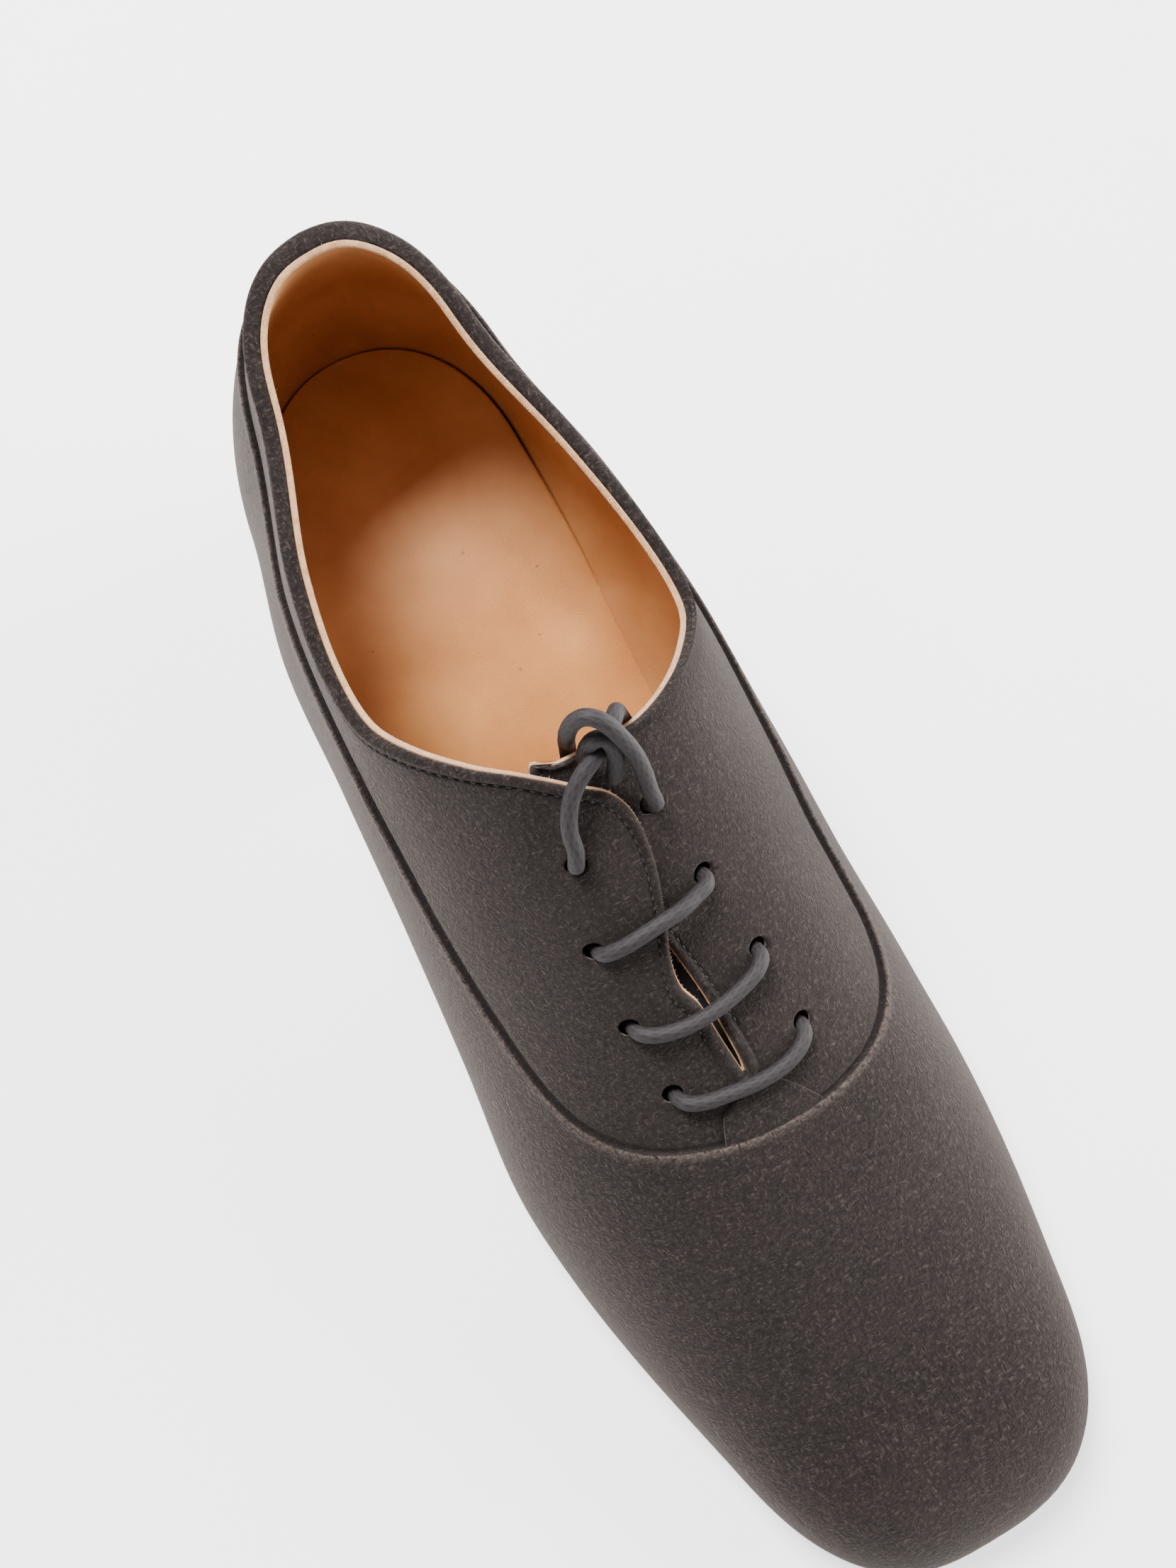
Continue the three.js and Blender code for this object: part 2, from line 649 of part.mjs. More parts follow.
// Lace: tubes along smooth lines
function tubeSolid(points, steps) {
  const path = new THREE.CatmullRomCurve3(points, false, 'centripetal');
  const shape = new THREE.Shape();
  shape.absarc(0, 0, laceDiameter / 2, 0, Math.PI * 2);
  const geometry = new THREE.ExtrudeGeometry(shape, {
    steps,
    curveSegments: laceSides / 2,
    bevelEnabled: false,
    extrudePath: path,
  });
  return solidFromGeometry(geometry);
}

// A bar between the two holes of a row: out of one, over both facings, into the other
function laceBarSolid(row) {
  const { outer, inner } = laceRows[row];
  const rest = laceDiameter / 2 + barGap;
  const inside = -upperWall * barDepth;
  const outerLift = facingLift(true, outer.along, outer.across);
  const innerLift = facingLift(false, inner.along, inner.across);
  const points = [
    offLast(outer.along, outer.across, outerLift + inside),
    offLast(outer.along, outer.across, outerLift + rest / 2),
  ];
  const steps = 7;
  for (let i = 1; i < steps; i += 1) {
    const t = i / steps;
    const place = mix(outer, inner, t);
    const along = place.along + barBow[row] * Math.sin(Math.PI * t);
    const lift = Math.max(facingLift(true, along, Math.min(place.across, 0)), 0);
    const fade = i === steps - 1 ? 0.6 : 1;
    points.push(offLast(along, place.across, lift * fade + rest));
  }
  points.push(offLast(inner.along, inner.across, innerLift + rest / 2));
  points.push(offLast(inner.along, inner.across, innerLift + inside));
  return tubeSolid(points, 22);
}

// The tied top of the lace: two strands out of the top holes and the turn that binds them
function laceKnotSolid() {
  return [outerStrand, innerStrand, wrapStrand]
    .map((strand) => strand.map((p) => offLast(p.along, p.across, p.over)))
    .map((points) => tubeSolid(points, points.length * 2))
    .reduce((joined, solid) => joined.add(solid));
}

// Colours and finish of each material
const finishes = {
  suede: { color: 0x48443d, roughness: 0.95, metalness: 0 },
  lining: { color: 0xc28a4e, roughness: 0.6, metalness: 0 },
  sole: { color: 0x504b50, roughness: 0.55, metalness: 0 },
  heel: { color: 0x544e52, roughness: 0.4, metalness: 0 },
  lace: { color: 0x55505a, roughness: 0.7, metalness: 0 },
};

function piece(name, finish, solid) {
  const mesh = new THREE.Mesh(geometryFromSolid(solid), new THREE.MeshStandardMaterial(finishes[finish]));
  mesh.name = name;
  return mesh;
}

const shoe = new THREE.Group();
shoe.add(
  piece('upper', 'suede', upperSolid()),
  piece('insole', 'lining', insoleSolid()),
  piece('outsole', 'sole', outsoleSolid()),
  piece('heel_block', 'heel', heelSolid()),
  piece('lace_bar_2', 'lace', laceBarSolid(1)),
  piece('lace_bar_3', 'lace', laceBarSolid(2)),
  piece('lace_bar_4', 'lace', laceBarSolid(3)),
  piece('lace_knot', 'lace', laceKnotSolid()),
);
shoe.position.x = -heelLength / 2;

export default shoe;
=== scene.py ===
"""Looks of a lace-up suede shoe on a block heel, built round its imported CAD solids."""

import logging
import math
from dataclasses import dataclass, field
from enum import Enum
from typing import Callable

import bmesh
import bpy
import numpy as np
from mathutils import Matrix, Vector


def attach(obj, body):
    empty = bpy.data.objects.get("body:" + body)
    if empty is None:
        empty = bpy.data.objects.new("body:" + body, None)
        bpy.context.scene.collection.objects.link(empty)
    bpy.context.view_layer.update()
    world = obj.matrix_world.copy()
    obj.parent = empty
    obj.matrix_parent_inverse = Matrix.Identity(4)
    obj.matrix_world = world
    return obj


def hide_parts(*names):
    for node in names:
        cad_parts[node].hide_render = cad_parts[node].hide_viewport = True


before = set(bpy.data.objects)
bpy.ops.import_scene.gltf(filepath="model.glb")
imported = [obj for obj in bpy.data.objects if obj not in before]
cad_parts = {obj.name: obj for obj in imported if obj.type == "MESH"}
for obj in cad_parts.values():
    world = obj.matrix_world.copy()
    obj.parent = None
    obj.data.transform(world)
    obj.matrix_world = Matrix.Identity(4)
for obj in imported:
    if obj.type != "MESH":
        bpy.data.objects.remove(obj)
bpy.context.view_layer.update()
LOG = logging.getLogger("shoe")
MM = 0.001
BODY = "root"

Array = np.ndarray
Plan = tuple[Array, Array]


# The last: the form that the shoe is built on


class Side(Enum):
    """The two sides of the foot."""

    OUTER = -1
    INNER = 1


def smooth(start: float, stop: float, value: Array) -> Array:
    """Smooth step from 0 at start to 1 at stop."""
    t = np.clip((value - start) / (stop - start), 0.0, 1.0)
    return t * t * (3.0 - 2.0 * t)


def mix(a: Plan, b: Plan, t: Array | float) -> Plan:
    """Plan coordinates between two places."""
    return a[0] + (b[0] - a[0]) * t, a[1] + (b[1] - a[1]) * t


class TableCurve:
    """A smooth curve through the rows of a table whose first column is the key."""

    def __init__(self, rows: tuple, closed: bool = False) -> None:
        """Keeps the rows and works out the slope at each of them.

        Args:
            rows: rows of numbers, the key first.
            closed: whether the last row is the first again, one turn later.
        """
        table = np.array(rows, float)
        self.keys = table[:, 0]
        self.values = table[:, 1:]
        before = np.vstack([table[:1], table[:-1]])
        after = np.vstack([table[1:], table[-1:]])
        if closed:
            turn = table[-1] - table[0]
            turn[1:] = 0.0
            before[0] = table[-2] - turn
            after[-1] = table[1] + turn
        rise = after[:, 1:] - before[:, 1:]
        self.slopes = rise / (after[:, :1] - before[:, :1])

    def at(self, key: Array) -> Array:
        """Values at a key.

        Args:
            key: places along the table's first column.

        Returns:
            One row of values for each place.
        """
        key = np.asarray(key, float)
        i = np.searchsorted(self.keys[1:-1], key, side="left")
        span = (self.keys[i + 1] - self.keys[i])[..., None]
        t = np.clip((key[..., None] - self.keys[i][..., None]) / span, 0.0, 1.0)
        t2, t3 = t * t, t * t * t
        return (
            (2 * t3 - 3 * t2 + 1) * self.values[i]
            + (t3 - 2 * t2 + t) * span * self.slopes[i]
            + (3 * t2 - 2 * t3) * self.values[i + 1]
            + (t3 - t2) * span * self.slopes[i + 1]
        )


# at, outer, inner, bend, crest, rise, spring, full, outer bulge, inner bulge, outer peak,
# inner peak: shares of the ball width, instep height, heel rise, toe spring and half width
LAST_SECTIONS = (
    (0.0, 0.305, 0.326, 0.021, 1.006, 0.994, 0, -0.15, 0, -0.02, 0.18, 0.18),
    (0.125, 0.327, 0.342, 0.002, 0.971, 0.906, 0, -0.175, 0.075, 0.065, 0.18, 0.18),
    (0.22, 0.352, 0.339, -0.015, 0.911, 0.804, 0, -0.045, 0.16, 0.28, 0.2, 0.22),
    (0.32, 0.367, 0.326, -0.022, 0.846, 0.638, 0, 0.07, 0.143, 0.432, 0.22, 0.26),
    (0.42, 0.394, 0.34, -0.024, 0.763, 0.406, 0, 0.035, 0.14, 0.503, 0.22, 0.28),
    (0.52, 0.448, 0.399, -0.01, 0.646, 0.183, 0, 0.02, 0.112, 0.334, 0.18, 0.24),
    (0.62, 0.5, 0.465, 0.001, 0.528, 0.04, 0, 0.037, 0.09, 0.172, 0.14, 0.16),
    (0.7, 0.506, 0.492, 0.008, 0.443, 0, 0, 0.048, 0.053, 0.098, 0.12, 0.12),
    (0.78, 0.47, 0.484, 0.01, 0.348, 0, 0, 0.05, 0.043, 0.071, 0.11, 0.11),
    (0.875, 0.405, 0.438, 0.011, 0.254, 0, 0.27, 0.057, 0.033, 0.07, 0.11, 0.11),
    (1.0, 0.316, 0.358, 0.014, 0.196, 0, 1, 0.06, 0.029, 0.086, 0.11, 0.11),
)
COLUMNS = {
    name: k
    for k, name in enumerate(
        "outer inner bend crest rise spring full outer_bulge inner_bulge outer_peak "
        "inner_peak".split()
    )
}

# turn, along, across: the edge of the opening, from the back over the outer side
OPENING_EDGE = (
    (0.0, 0.0625, 0.0), (0.025, 0.0667, -0.22), (0.05, 0.08, -0.39),
    (0.07, 0.098, -0.485), (0.09, 0.125, -0.535), (0.12, 0.175, -0.575),
    (0.15, 0.23, -0.6), (0.18, 0.285, -0.595), (0.205, 0.33, -0.545),
    (0.225, 0.365, -0.435), (0.245, 0.393, -0.3), (0.26, 0.414, -0.16),
    (0.275, 0.432, -0.045), (0.29, 0.444, 0.035), (0.305, 0.46, 0.068),
    (0.32, 0.484, 0.06), (0.335, 0.512, 0.022), (0.35, 0.543, -0.028),
    (0.36, 0.56, -0.036), (0.37, 0.575, -0.014), (0.385, 0.6, -0.005),
    (0.4, 0.618, 0.002), (0.45, 0.6265, 0.006), (0.5, 0.628, 0.011),
    (0.55, 0.6265, 0.016), (0.6, 0.618, 0.02), (0.62, 0.598, 0.019),
    (0.64, 0.574, 0.015), (0.66, 0.545, -0.004), (0.68, 0.515, -0.035),
    (0.7, 0.48, -0.08), (0.715, 0.45, -0.125), (0.73, 0.425, -0.158),
    (0.74, 0.414, -0.14), (0.75, 0.4195, -0.09), (0.765, 0.4215, 0.01),
    (0.78, 0.421, 0.11), (0.795, 0.416, 0.23), (0.81, 0.402, 0.355),
    (0.825, 0.3805, 0.48), (0.845, 0.35, 0.6), (0.87, 0.305, 0.652),
    (0.895, 0.25, 0.655), (0.915, 0.2, 0.63), (0.935, 0.15, 0.585),
    (0.95, 0.115, 0.535), (0.965, 0.092, 0.47), (0.98, 0.0727, 0.32),
    (1.0, 0.0625, 0.0),
)

# turn, along, across: the seam where the lower panel laps over the collar and facings
PANEL_SEAM = (
    (0.0, 0.041, 0.0), (0.025, 0.05, -0.3), (0.05, 0.076, -0.52),
    (0.07, 0.103, -0.62), (0.09, 0.135, -0.68), (0.12, 0.18, -0.705),
    (0.16, 0.245, -0.69), (0.2, 0.315, -0.668), (0.235, 0.385, -0.65),
    (0.265, 0.44, -0.632), (0.295, 0.495, -0.595), (0.325, 0.55, -0.54),
    (0.36, 0.6, -0.455), (0.4, 0.637, -0.335), (0.44, 0.658, -0.19),
    (0.48, 0.668, -0.05), (0.52, 0.67, 0.09), (0.56, 0.667, 0.225),
    (0.6, 0.652, 0.395), (0.64, 0.622, 0.545), (0.675, 0.583, 0.622),
    (0.705, 0.54, 0.637), (0.735, 0.493, 0.637), (0.765, 0.44, 0.665),
    (0.8, 0.375, 0.698), (0.84, 0.31, 0.718), (0.88, 0.245, 0.73),
    (0.91, 0.185, 0.725), (0.93, 0.14, 0.697), (0.95, 0.102, 0.645),
    (0.97, 0.073, 0.53), (0.985, 0.052, 0.34), (1.0, 0.041, 0.0),
)


@dataclass(frozen=True)
class Last:
    """The form inside the shoe, in metres, with its places in plan coordinates.

    along runs from 0 at the back to 1 at the toe. across runs from -1 at the outer
    feather line over 0 at the crest to 1 at the inner feather line. turn is a share of
    one trip round the upper, from the back over the outer side.
    """

    length: float = 0.257
    ball_width: float = 0.083
    instep_height: float = 0.1
    heel_rise: float = 0.048
    toe_spring: float = 0.004
    sole_thickness: float = 0.004
    clearance: float = 0.0003
    heel_length: float = 0.064
    facing_rise: float = 0.001
    facing_drop: float = 0.0015
    heel_pole: float = 0.125
    toe_pole: float = 0.875
    heel_turn: float = 0.14
    toe_turn: float = 0.84
    heel_roundness: float = 2.25
    toe_roundness: float = 2.9
    probe: float = 0.004
    sections: TableCurve = field(default_factory=lambda: TableCurve(LAST_SECTIONS))
    opening: TableCurve = field(
        default_factory=lambda: TableCurve(OPENING_EDGE, closed=True)
    )
    seam_line: TableCurve = field(
        default_factory=lambda: TableCurve(PANEL_SEAM, closed=True)
    )

    def section(self, at: Array) -> Callable[[str], Array]:
        """Reads named values of the cross-sections at shares of the length."""
        values = self.sections.at(np.clip(at, 0.0, 1.0))
        return lambda name: values[..., COLUMNS[name]]

    def feather_height(self, at: Array) -> Array:
        """Height of the feather line over the floor."""
        read = self.section(at)
        raised = read("rise") * self.heel_rise + read("spring") * self.toe_spring
        return self.sole_thickness + self.clearance + np.maximum(raised, 0.0)

    def height_at_x(self, x: Array) -> Array:
        """Height of the feather line over the floor at an x of the shared frame."""
        return self.feather_height((x + self.heel_length / 2) / self.length)

    def surface(self, along: Array, across: Array) -> Array:
        """Points of the last's surface.

        Args:
            along: shares of the length.
            across: places across, from -1 to 1.

        Returns:
            One point for each place, in the shared frame.
        """
        along, across = np.broadcast_arrays(
            np.asarray(along, float), np.asarray(across, float)
        )
        beside = np.abs(across)
        heel, toe = along < self.heel_pole, along > self.toe_pole
        heel_cap = (self.heel_pole - along) / self.heel_pole
        toe_cap = (along - self.toe_pole) / (1 - self.toe_pole)
        cap = np.where(heel, heel_cap, np.where(toe, toe_cap, 0.0))
        power = np.where(heel, self.heel_roundness, np.where(toe, self.toe_roundness, 2))
        rho = np.where(cap > 0, (cap**power + beside**power) ** (1 / power), beside)
        safe = np.where(rho > 0, rho, 1.0)
        end = np.where(rho > 0, cap / safe, 0.0)
        flank = np.where(rho > 0, beside / safe, 1.0)
        theta = (1 - rho) * np.pi / 2

        def place(out: Array) -> Array:
            """Share of the length at a distance out from the crest."""
            at_heel = self.heel_pole * (1 - end * out)
            at_toe = self.toe_pole + (1 - self.toe_pole) * end * out
            return np.where(heel, at_heel, np.where(toe, at_toe, along))

        full = 1 + self.section(place(rho))("full") * np.sin(2 * theta) ** 2
        out = np.cos(theta) * full
        at = place(out)
        read = self.section(at)
        height = read("crest") * self.instep_height * np.sin(theta) * full
        outer = across < 0
        inward = 0.5 + np.where(outer, -0.5, 0.5) * flank
        peak = read("outer_peak") * (1 - inward) + read("inner_peak") * inward
        bulge = read("outer_bulge") * (1 - inward) + read("inner_bulge") * inward
        level = height / (peak * self.instep_height)
        wide = out * (1 + bulge * level * np.exp(1 - level))
        seen = place(wide)
        read = self.section(seen)
        half = np.where(outer, read("outer"), read("inner")) * self.ball_width
        y = read("bend") * self.ball_width + np.where(outer, -1, 1) * half * flank * wide
        x = seen * self.length - self.heel_length / 2
        return np.stack([x, y, self.feather_height(at) + height], -1)

    def normal(self, along: Array, across: Array) -> Array:
        """Outward normals of the last's surface."""
        a = np.clip(along, self.probe * 1.5, 1 - self.probe * 1.5)
        ahead = self.surface(a + self.probe, across) - self.surface(a - self.probe, across)
        beside = self.surface(a, across + self.probe) - self.surface(a, across - self.probe)
        normal = np.cross(ahead, beside)
        return normal / np.linalg.norm(normal, axis=-1, keepdims=True)

    def off(self, along: Array, across: Array, distance: Array | float) -> Array:
        """Points at a distance outside the last, in metres."""
        away = np.broadcast_to(np.asarray(distance, float), np.shape(along))
        return self.surface(along, across) + self.normal(along, across) * away[..., None]

    def feather(self, turn: Array) -> Plan:
        """Plan coordinates of the feather line at a turn."""
        outer = turn < 0.5
        half = np.where(outer, turn * 2, (1 - turn) * 2)
        sign = np.where(outer, -1.0, 1.0)
        heel_angle = np.clip(half / self.heel_turn, 0, 1) * np.pi / 2
        toe_angle = np.clip((half - self.toe_turn) / (1 - self.toe_turn), 0, 1) * np.pi / 2
        share = (half - self.heel_turn) / (self.toe_turn - self.heel_turn)
        heel, toe = half < self.heel_turn, half > self.toe_turn
        h_power, t_power = 2 / self.heel_roundness, 2 / self.toe_roundness
        along = np.where(
            heel,
            self.heel_pole * (1 - np.cos(heel_angle) ** h_power),
            np.where(
                toe,
                self.toe_pole + (1 - self.toe_pole) * np.sin(toe_angle) ** t_power,
                self.heel_pole + (self.toe_pole - self.heel_pole) * share,
            ),
        )
        across = np.where(
            heel,
            np.sin(heel_angle) ** h_power,
            np.where(toe, np.cos(toe_angle) ** t_power, 1.0),
        )
        return along, sign * across

    def inward(self, turn: Array, rho: Array) -> Plan:
        """Plan coordinates between the crest, at rho 0, and the feather line, at 1."""
        along, across = self.feather(turn)
        middle = np.clip(along, self.heel_pole, self.toe_pole)
        return middle + (along - middle) * rho, across * rho

    def seam(self, turn: Array) -> Plan:
        """Plan coordinates of the panel seam at a turn."""
        values = self.seam_line.at(turn)
        return values[..., 0], values[..., 1]

    def edge(self, turn: Array) -> Plan:
        """Plan coordinates of the edge of the opening at a turn."""
        values = self.opening.at(turn)
        return values[..., 0], values[..., 1]

    def facing_lift(self, outer: Array, along: Array, across: Array) -> Array:
        """How far a facing stands off the last where one lies over the other."""
        lap = smooth(0.3, 0.4, along) * (1 - smooth(0.55, 0.615, along))
        over = self.facing_rise * smooth(-0.42, -0.12, across)
        under = -self.facing_drop * (1 - smooth(0.12, 0.42, across))
        return np.where(outer, over, under) * lap

    def on_wall(self, turn: Array, place: Plan, distance: Array | float) -> Array:
        """Points off the last on the shoe's wall, facings lifted."""
        lift = self.facing_lift(turn < 0.5, *place)
        return self.off(*place, lift + distance)


# Mesh making


def new_piece(name: str, mesh: bmesh.types.BMesh | bpy.types.Mesh) -> bpy.types.Object:
    """Links a finished mesh as an object at the origin.

    Args:
        name: the piece's name.
        mesh: its mesh, or a bmesh, which is freed.

    Returns:
        The new object.
    """
    if isinstance(mesh, bmesh.types.BMesh):
        data = bpy.data.meshes.new(name)
        mesh.to_mesh(data)
        mesh.free()
    else:
        data = mesh
    piece = bpy.data.objects.new(name, data)
    bpy.context.scene.collection.objects.link(piece)
    return piece


def mapped_grid(
    columns: int,
    rows: int,
    place: Callable[[Array, Array], Array],
    labels: Callable[[Array, Array], dict[str, Array]] | None = None,
    weld: float = 1e-7,
) -> bmesh.types.BMesh:
    """A grid moved onto a surface, its meeting sides welded.

    Args:
        columns: faces along the first coordinate.
        rows: faces along the second coordinate.
        place: gives points for the two coordinates, each from 0 to 1.
        labels: gives named values to keep on the points, if any.
        weld: distance below which points become one, in metres.

    Returns:
        The bmesh, with its normals pointing outwards and its coordinates as UVs.
    """
    bm = bmesh.new()
    bmesh.ops.create_grid(bm, x_segments=columns, y_segments=rows, size=0.5)
    bm.verts.ensure_lookup_table()
    flat = np.array([v.co for v in bm.verts])[:, :2] + 0.5
    u = np.round(flat[:, 0] * columns) / columns
    v = np.round(flat[:, 1] * rows) / rows
    points = place(u, v)
    uv = bm.loops.layers.uv.new("UVMap")
    for face in bm.faces:
        for loop in face.loops:
            loop[uv].uv = flat[loop.vert.index]
    for name, values in (labels(u, v) if labels else {}).items():
        layer = bm.verts.layers.float.new(name)
        for vert, value in zip(bm.verts, values):
            vert[layer] = float(value)
    for vert, point in zip(bm.verts, points):
        vert.co = point
    bmesh.ops.remove_doubles(bm, verts=bm.verts, dist=weld)
    bmesh.ops.dissolve_degenerate(bm, edges=bm.edges, dist=weld)
    bmesh.ops.recalc_face_normals(bm, faces=bm.faces)
    return bm


def shade_smooth(bm: bmesh.types.BMesh, sharp_degrees: float = 180.0) -> None:
    """Shades smooth, but for edges sharper than an angle."""
    for face in bm.faces:
        face.smooth = True
    if sharp_degrees < 180.0:
        limit = math.radians(sharp_degrees)
        for edge in bm.edges:
            if len(edge.link_faces) == 2 and edge.calc_face_angle(0.0) > limit:
                edge.smooth = False


def through_points(points: Array, count: int) -> Array:
    """A smooth line through points, by the centripetal rule.

    Args:
        points: the points that it passes.
        count: how many points to return.

    Returns:
        Points along the line, at even distances.
    """
    first, last = 2 * points[0] - points[1], 2 * points[-1] - points[-2]
    p = np.vstack([first, points, last])
    dense = []
    for i in range(1, len(p) - 2):
        t = np.zeros(4)
        for k in range(1, 4):
            t[k] = t[k - 1] + max(np.linalg.norm(p[i - 1 + k] - p[i - 2 + k]), 1e-9) ** 0.5
        s = np.linspace(t[1], t[2], 24, endpoint=False)[:, None]
        a = [
            (t[k + 1] - s) / (t[k + 1] - t[k]) * p[i - 1 + k]
            + (s - t[k]) / (t[k + 1] - t[k]) * p[i + k]
            for k in range(3)
        ]
        b = [
            (t[k + 2] - s) / (t[k + 2] - t[k]) * a[k]
            + (s - t[k]) / (t[k + 2] - t[k]) * a[k + 1]
            for k in range(2)
        ]
        dense.append((t[2] - s) / (t[2] - t[1]) * b[0] + (s - t[1]) / (t[2] - t[1]) * b[1])
    line = np.vstack([*dense, points[-1:]])
    steps = np.linalg.norm(np.diff(line, axis=0), axis=1)
    run = np.concatenate([[0.0], np.cumsum(steps)])
    even = np.linspace(0.0, run[-1], count)
    return np.stack([np.interp(even, run, line[:, k]) for k in range(3)], -1)


def line_frames(line: Array) -> tuple[Array, Array, Array]:
    """Directions along a line and two across it that turn as little as possible.

    Args:
        line: points along the line.

    Returns:
        Unit vectors along it and on its two sides, for each point.
    """
    ahead = np.gradient(line, axis=0)
    ahead /= np.linalg.norm(ahead, axis=1, keepdims=True)
    start = np.cross(ahead[0], [0.0, 0.0, 1.0])
    if np.linalg.norm(start) < 1e-6:
        start = np.array([0.0, 1.0, 0.0])
    beside = [start / np.linalg.norm(start)]
    for direction in ahead[1:]:
        turned = beside[-1] - direction * (beside[-1] @ direction)
        beside.append(turned / np.linalg.norm(turned))
    beside = np.array(beside)
    return ahead, beside, np.cross(ahead, beside)


# Shader making


@dataclass(frozen=True)
class Value:
    """A socket of a material's nodes, with arithmetic that adds the nodes for it."""

    graph: "Graph"
    socket: bpy.types.NodeSocket

    def __add__(self, other: "Value | float") -> "Value":
        """Sum."""
        return self.graph.maths("ADD", self, other)

    def __sub__(self, other: "Value | float") -> "Value":
        """Difference."""
        return self.graph.maths("SUBTRACT", self, other)

    def __rsub__(self, other: float) -> "Value":
        """Difference from a number."""
        return self.graph.maths("SUBTRACT", other, self)

    def __mul__(self, other: "Value | float") -> "Value":
        """Product."""
        return self.graph.maths("MULTIPLY", self, other)

    def __truediv__(self, other: "Value | float") -> "Value":
        """Quotient."""
        return self.graph.maths("DIVIDE", self, other)

    def __pow__(self, other: "Value | float") -> "Value":
        """Power."""
        return self.graph.maths("POWER", self, other)

    __radd__ = __add__
    __rmul__ = __mul__


class Graph:
    """The nodes of one material."""

    def __init__(self, name: str) -> None:
        """Makes an empty material of a name."""
        self.material = bpy.data.materials.new(name)
        self.material.use_nodes = True
        self.tree = self.material.node_tree
        self.tree.nodes.clear()
        self.output = self.tree.nodes.new("ShaderNodeOutputMaterial")

    def node(
        self,
        kind: str,
        settings: dict | None = None,
        inputs: dict | None = None,
        out: int | str = 0,
    ) -> Value:
        """Adds a node.

        Args:
            kind: the node's type.
            settings: properties, set before anything is linked; "stops" fills a ramp.
            inputs: values or links of its sockets, by name or number.
            out: the output to hand back.

        Returns:
            That output.
        """
        node = self.tree.nodes.new(kind)
        for key, value in (settings or {}).items():
            if key == "stops":
                while len(node.color_ramp.elements) < len(value):
                    node.color_ramp.elements.new(0.5)
                for element, (at, colour) in zip(node.color_ramp.elements, value):
                    element.position, element.color = at, (*colour, 1.0)
            else:
                setattr(node, key, value)
        for key, value in (inputs or {}).items():
            if isinstance(value, Value):
                self.tree.links.new(value.socket, node.inputs[key])
            else:
                node.inputs[key].default_value = value
        return Value(self, node.outputs[out])

    def maths(self, operation: str, a: Value | float, b: Value | float = 0.0) -> Value:
        """Adds a Math node."""
        return self.node("ShaderNodeMath", {"operation": operation}, {0: a, 1: b})

    def ramp(self, value: Value, low: float, high: float) -> Value:
        """0 below low and 1 above high, with a straight run between."""
        return self.node(
            "ShaderNodeMapRange",
            {"clamp": True},
            {"Value": value, "From Min": low, "From Max": high},
        )

    def blend(self, share: Value | float, a: "Colour | Value", b: "Colour | Value") -> Value:
        """Mixes two colours."""
        colours = [c if isinstance(c, Value) else (*c, 1.0) for c in (a, b)]
        return self.node(
            "ShaderNodeMix",
            {"data_type": "RGBA", "clamp_factor": True},
            {0: share, 6: colours[0], 7: colours[1]},
            2,
        )

    def place(
        self, scale: tuple = (1, 1, 1), turn: tuple = (0, 0, 0), source: str = "Object"
    ) -> Value:
        """Coordinates in millimetres of the object, or its UVs, scaled and turned."""
        coordinates = self.node("ShaderNodeTexCoord", out=source)
        unit = 1 / MM if source == "Object" else 1.0
        return self.node(
            "ShaderNodeMapping",
            {"vector_type": "POINT"},
            {
                "Vector": coordinates,
                "Scale": tuple(unit * s for s in scale),
                "Rotation": tuple(math.radians(t) for t in turn),
            },
        )

    def noise(
        self, where: Value, scale: float, detail: float = 2.0, rough: float = 0.5,
        distortion: float = 0.0,
    ) -> Value:
        """A noise pattern of 0 to 1, scale its waves for each unit."""
        return self.node(
            "ShaderNodeTexNoise",
            None,
            {
                "Vector": where,
                "Scale": scale,
                "Detail": detail,
                "Roughness": rough,
                "Distortion": distortion,
            },
        )

    def attribute(self, name: str) -> Value:
        """A number kept on the mesh's points."""
        return self.node("ShaderNodeAttribute", {"attribute_name": name}, out="Fac")

    def bump(self, height: Value, metres: float, strength: float = 1.0) -> Value:
        """A normal bent by a height of 0 to 1 that stands for so many metres."""
        return self.node(
            "ShaderNodeBump",
            None,
            {"Height": height, "Distance": metres, "Strength": strength},
            "Normal",
        )

    def finish(self, **sockets: "Value | Colour | float") -> bpy.types.Material:
        """Closes the material with a shader.

        Args:
            **sockets: its sockets, spaces in their names as underscores.

        Returns:
            The material.
        """
        inputs = {}
        for key, value in sockets.items():
            plain = key.replace("_", " ").title().replace("Ior", "IOR")
            if isinstance(value, tuple) and len(value) == 3:
                value = (*value, 1.0)
            inputs[plain] = value
        shader = self.node("ShaderNodeBsdfPrincipled", None, inputs)
        self.tree.links.new(shader.socket, self.output.inputs["Surface"])
        return self.material


Colour = tuple[float, float, float]


def colour(code: str, gain: float = 1.0) -> Colour:
    """Linear colour from six hexadecimal digits of a screen colour."""
    parts = [int(code[k : k + 2], 16) / 255 for k in (0, 2, 4)]
    linear = [c / 12.92 if c <= 0.04045 else ((c + 0.055) / 1.055) ** 2.4 for c in parts]
    return tuple(gain * c for c in linear)


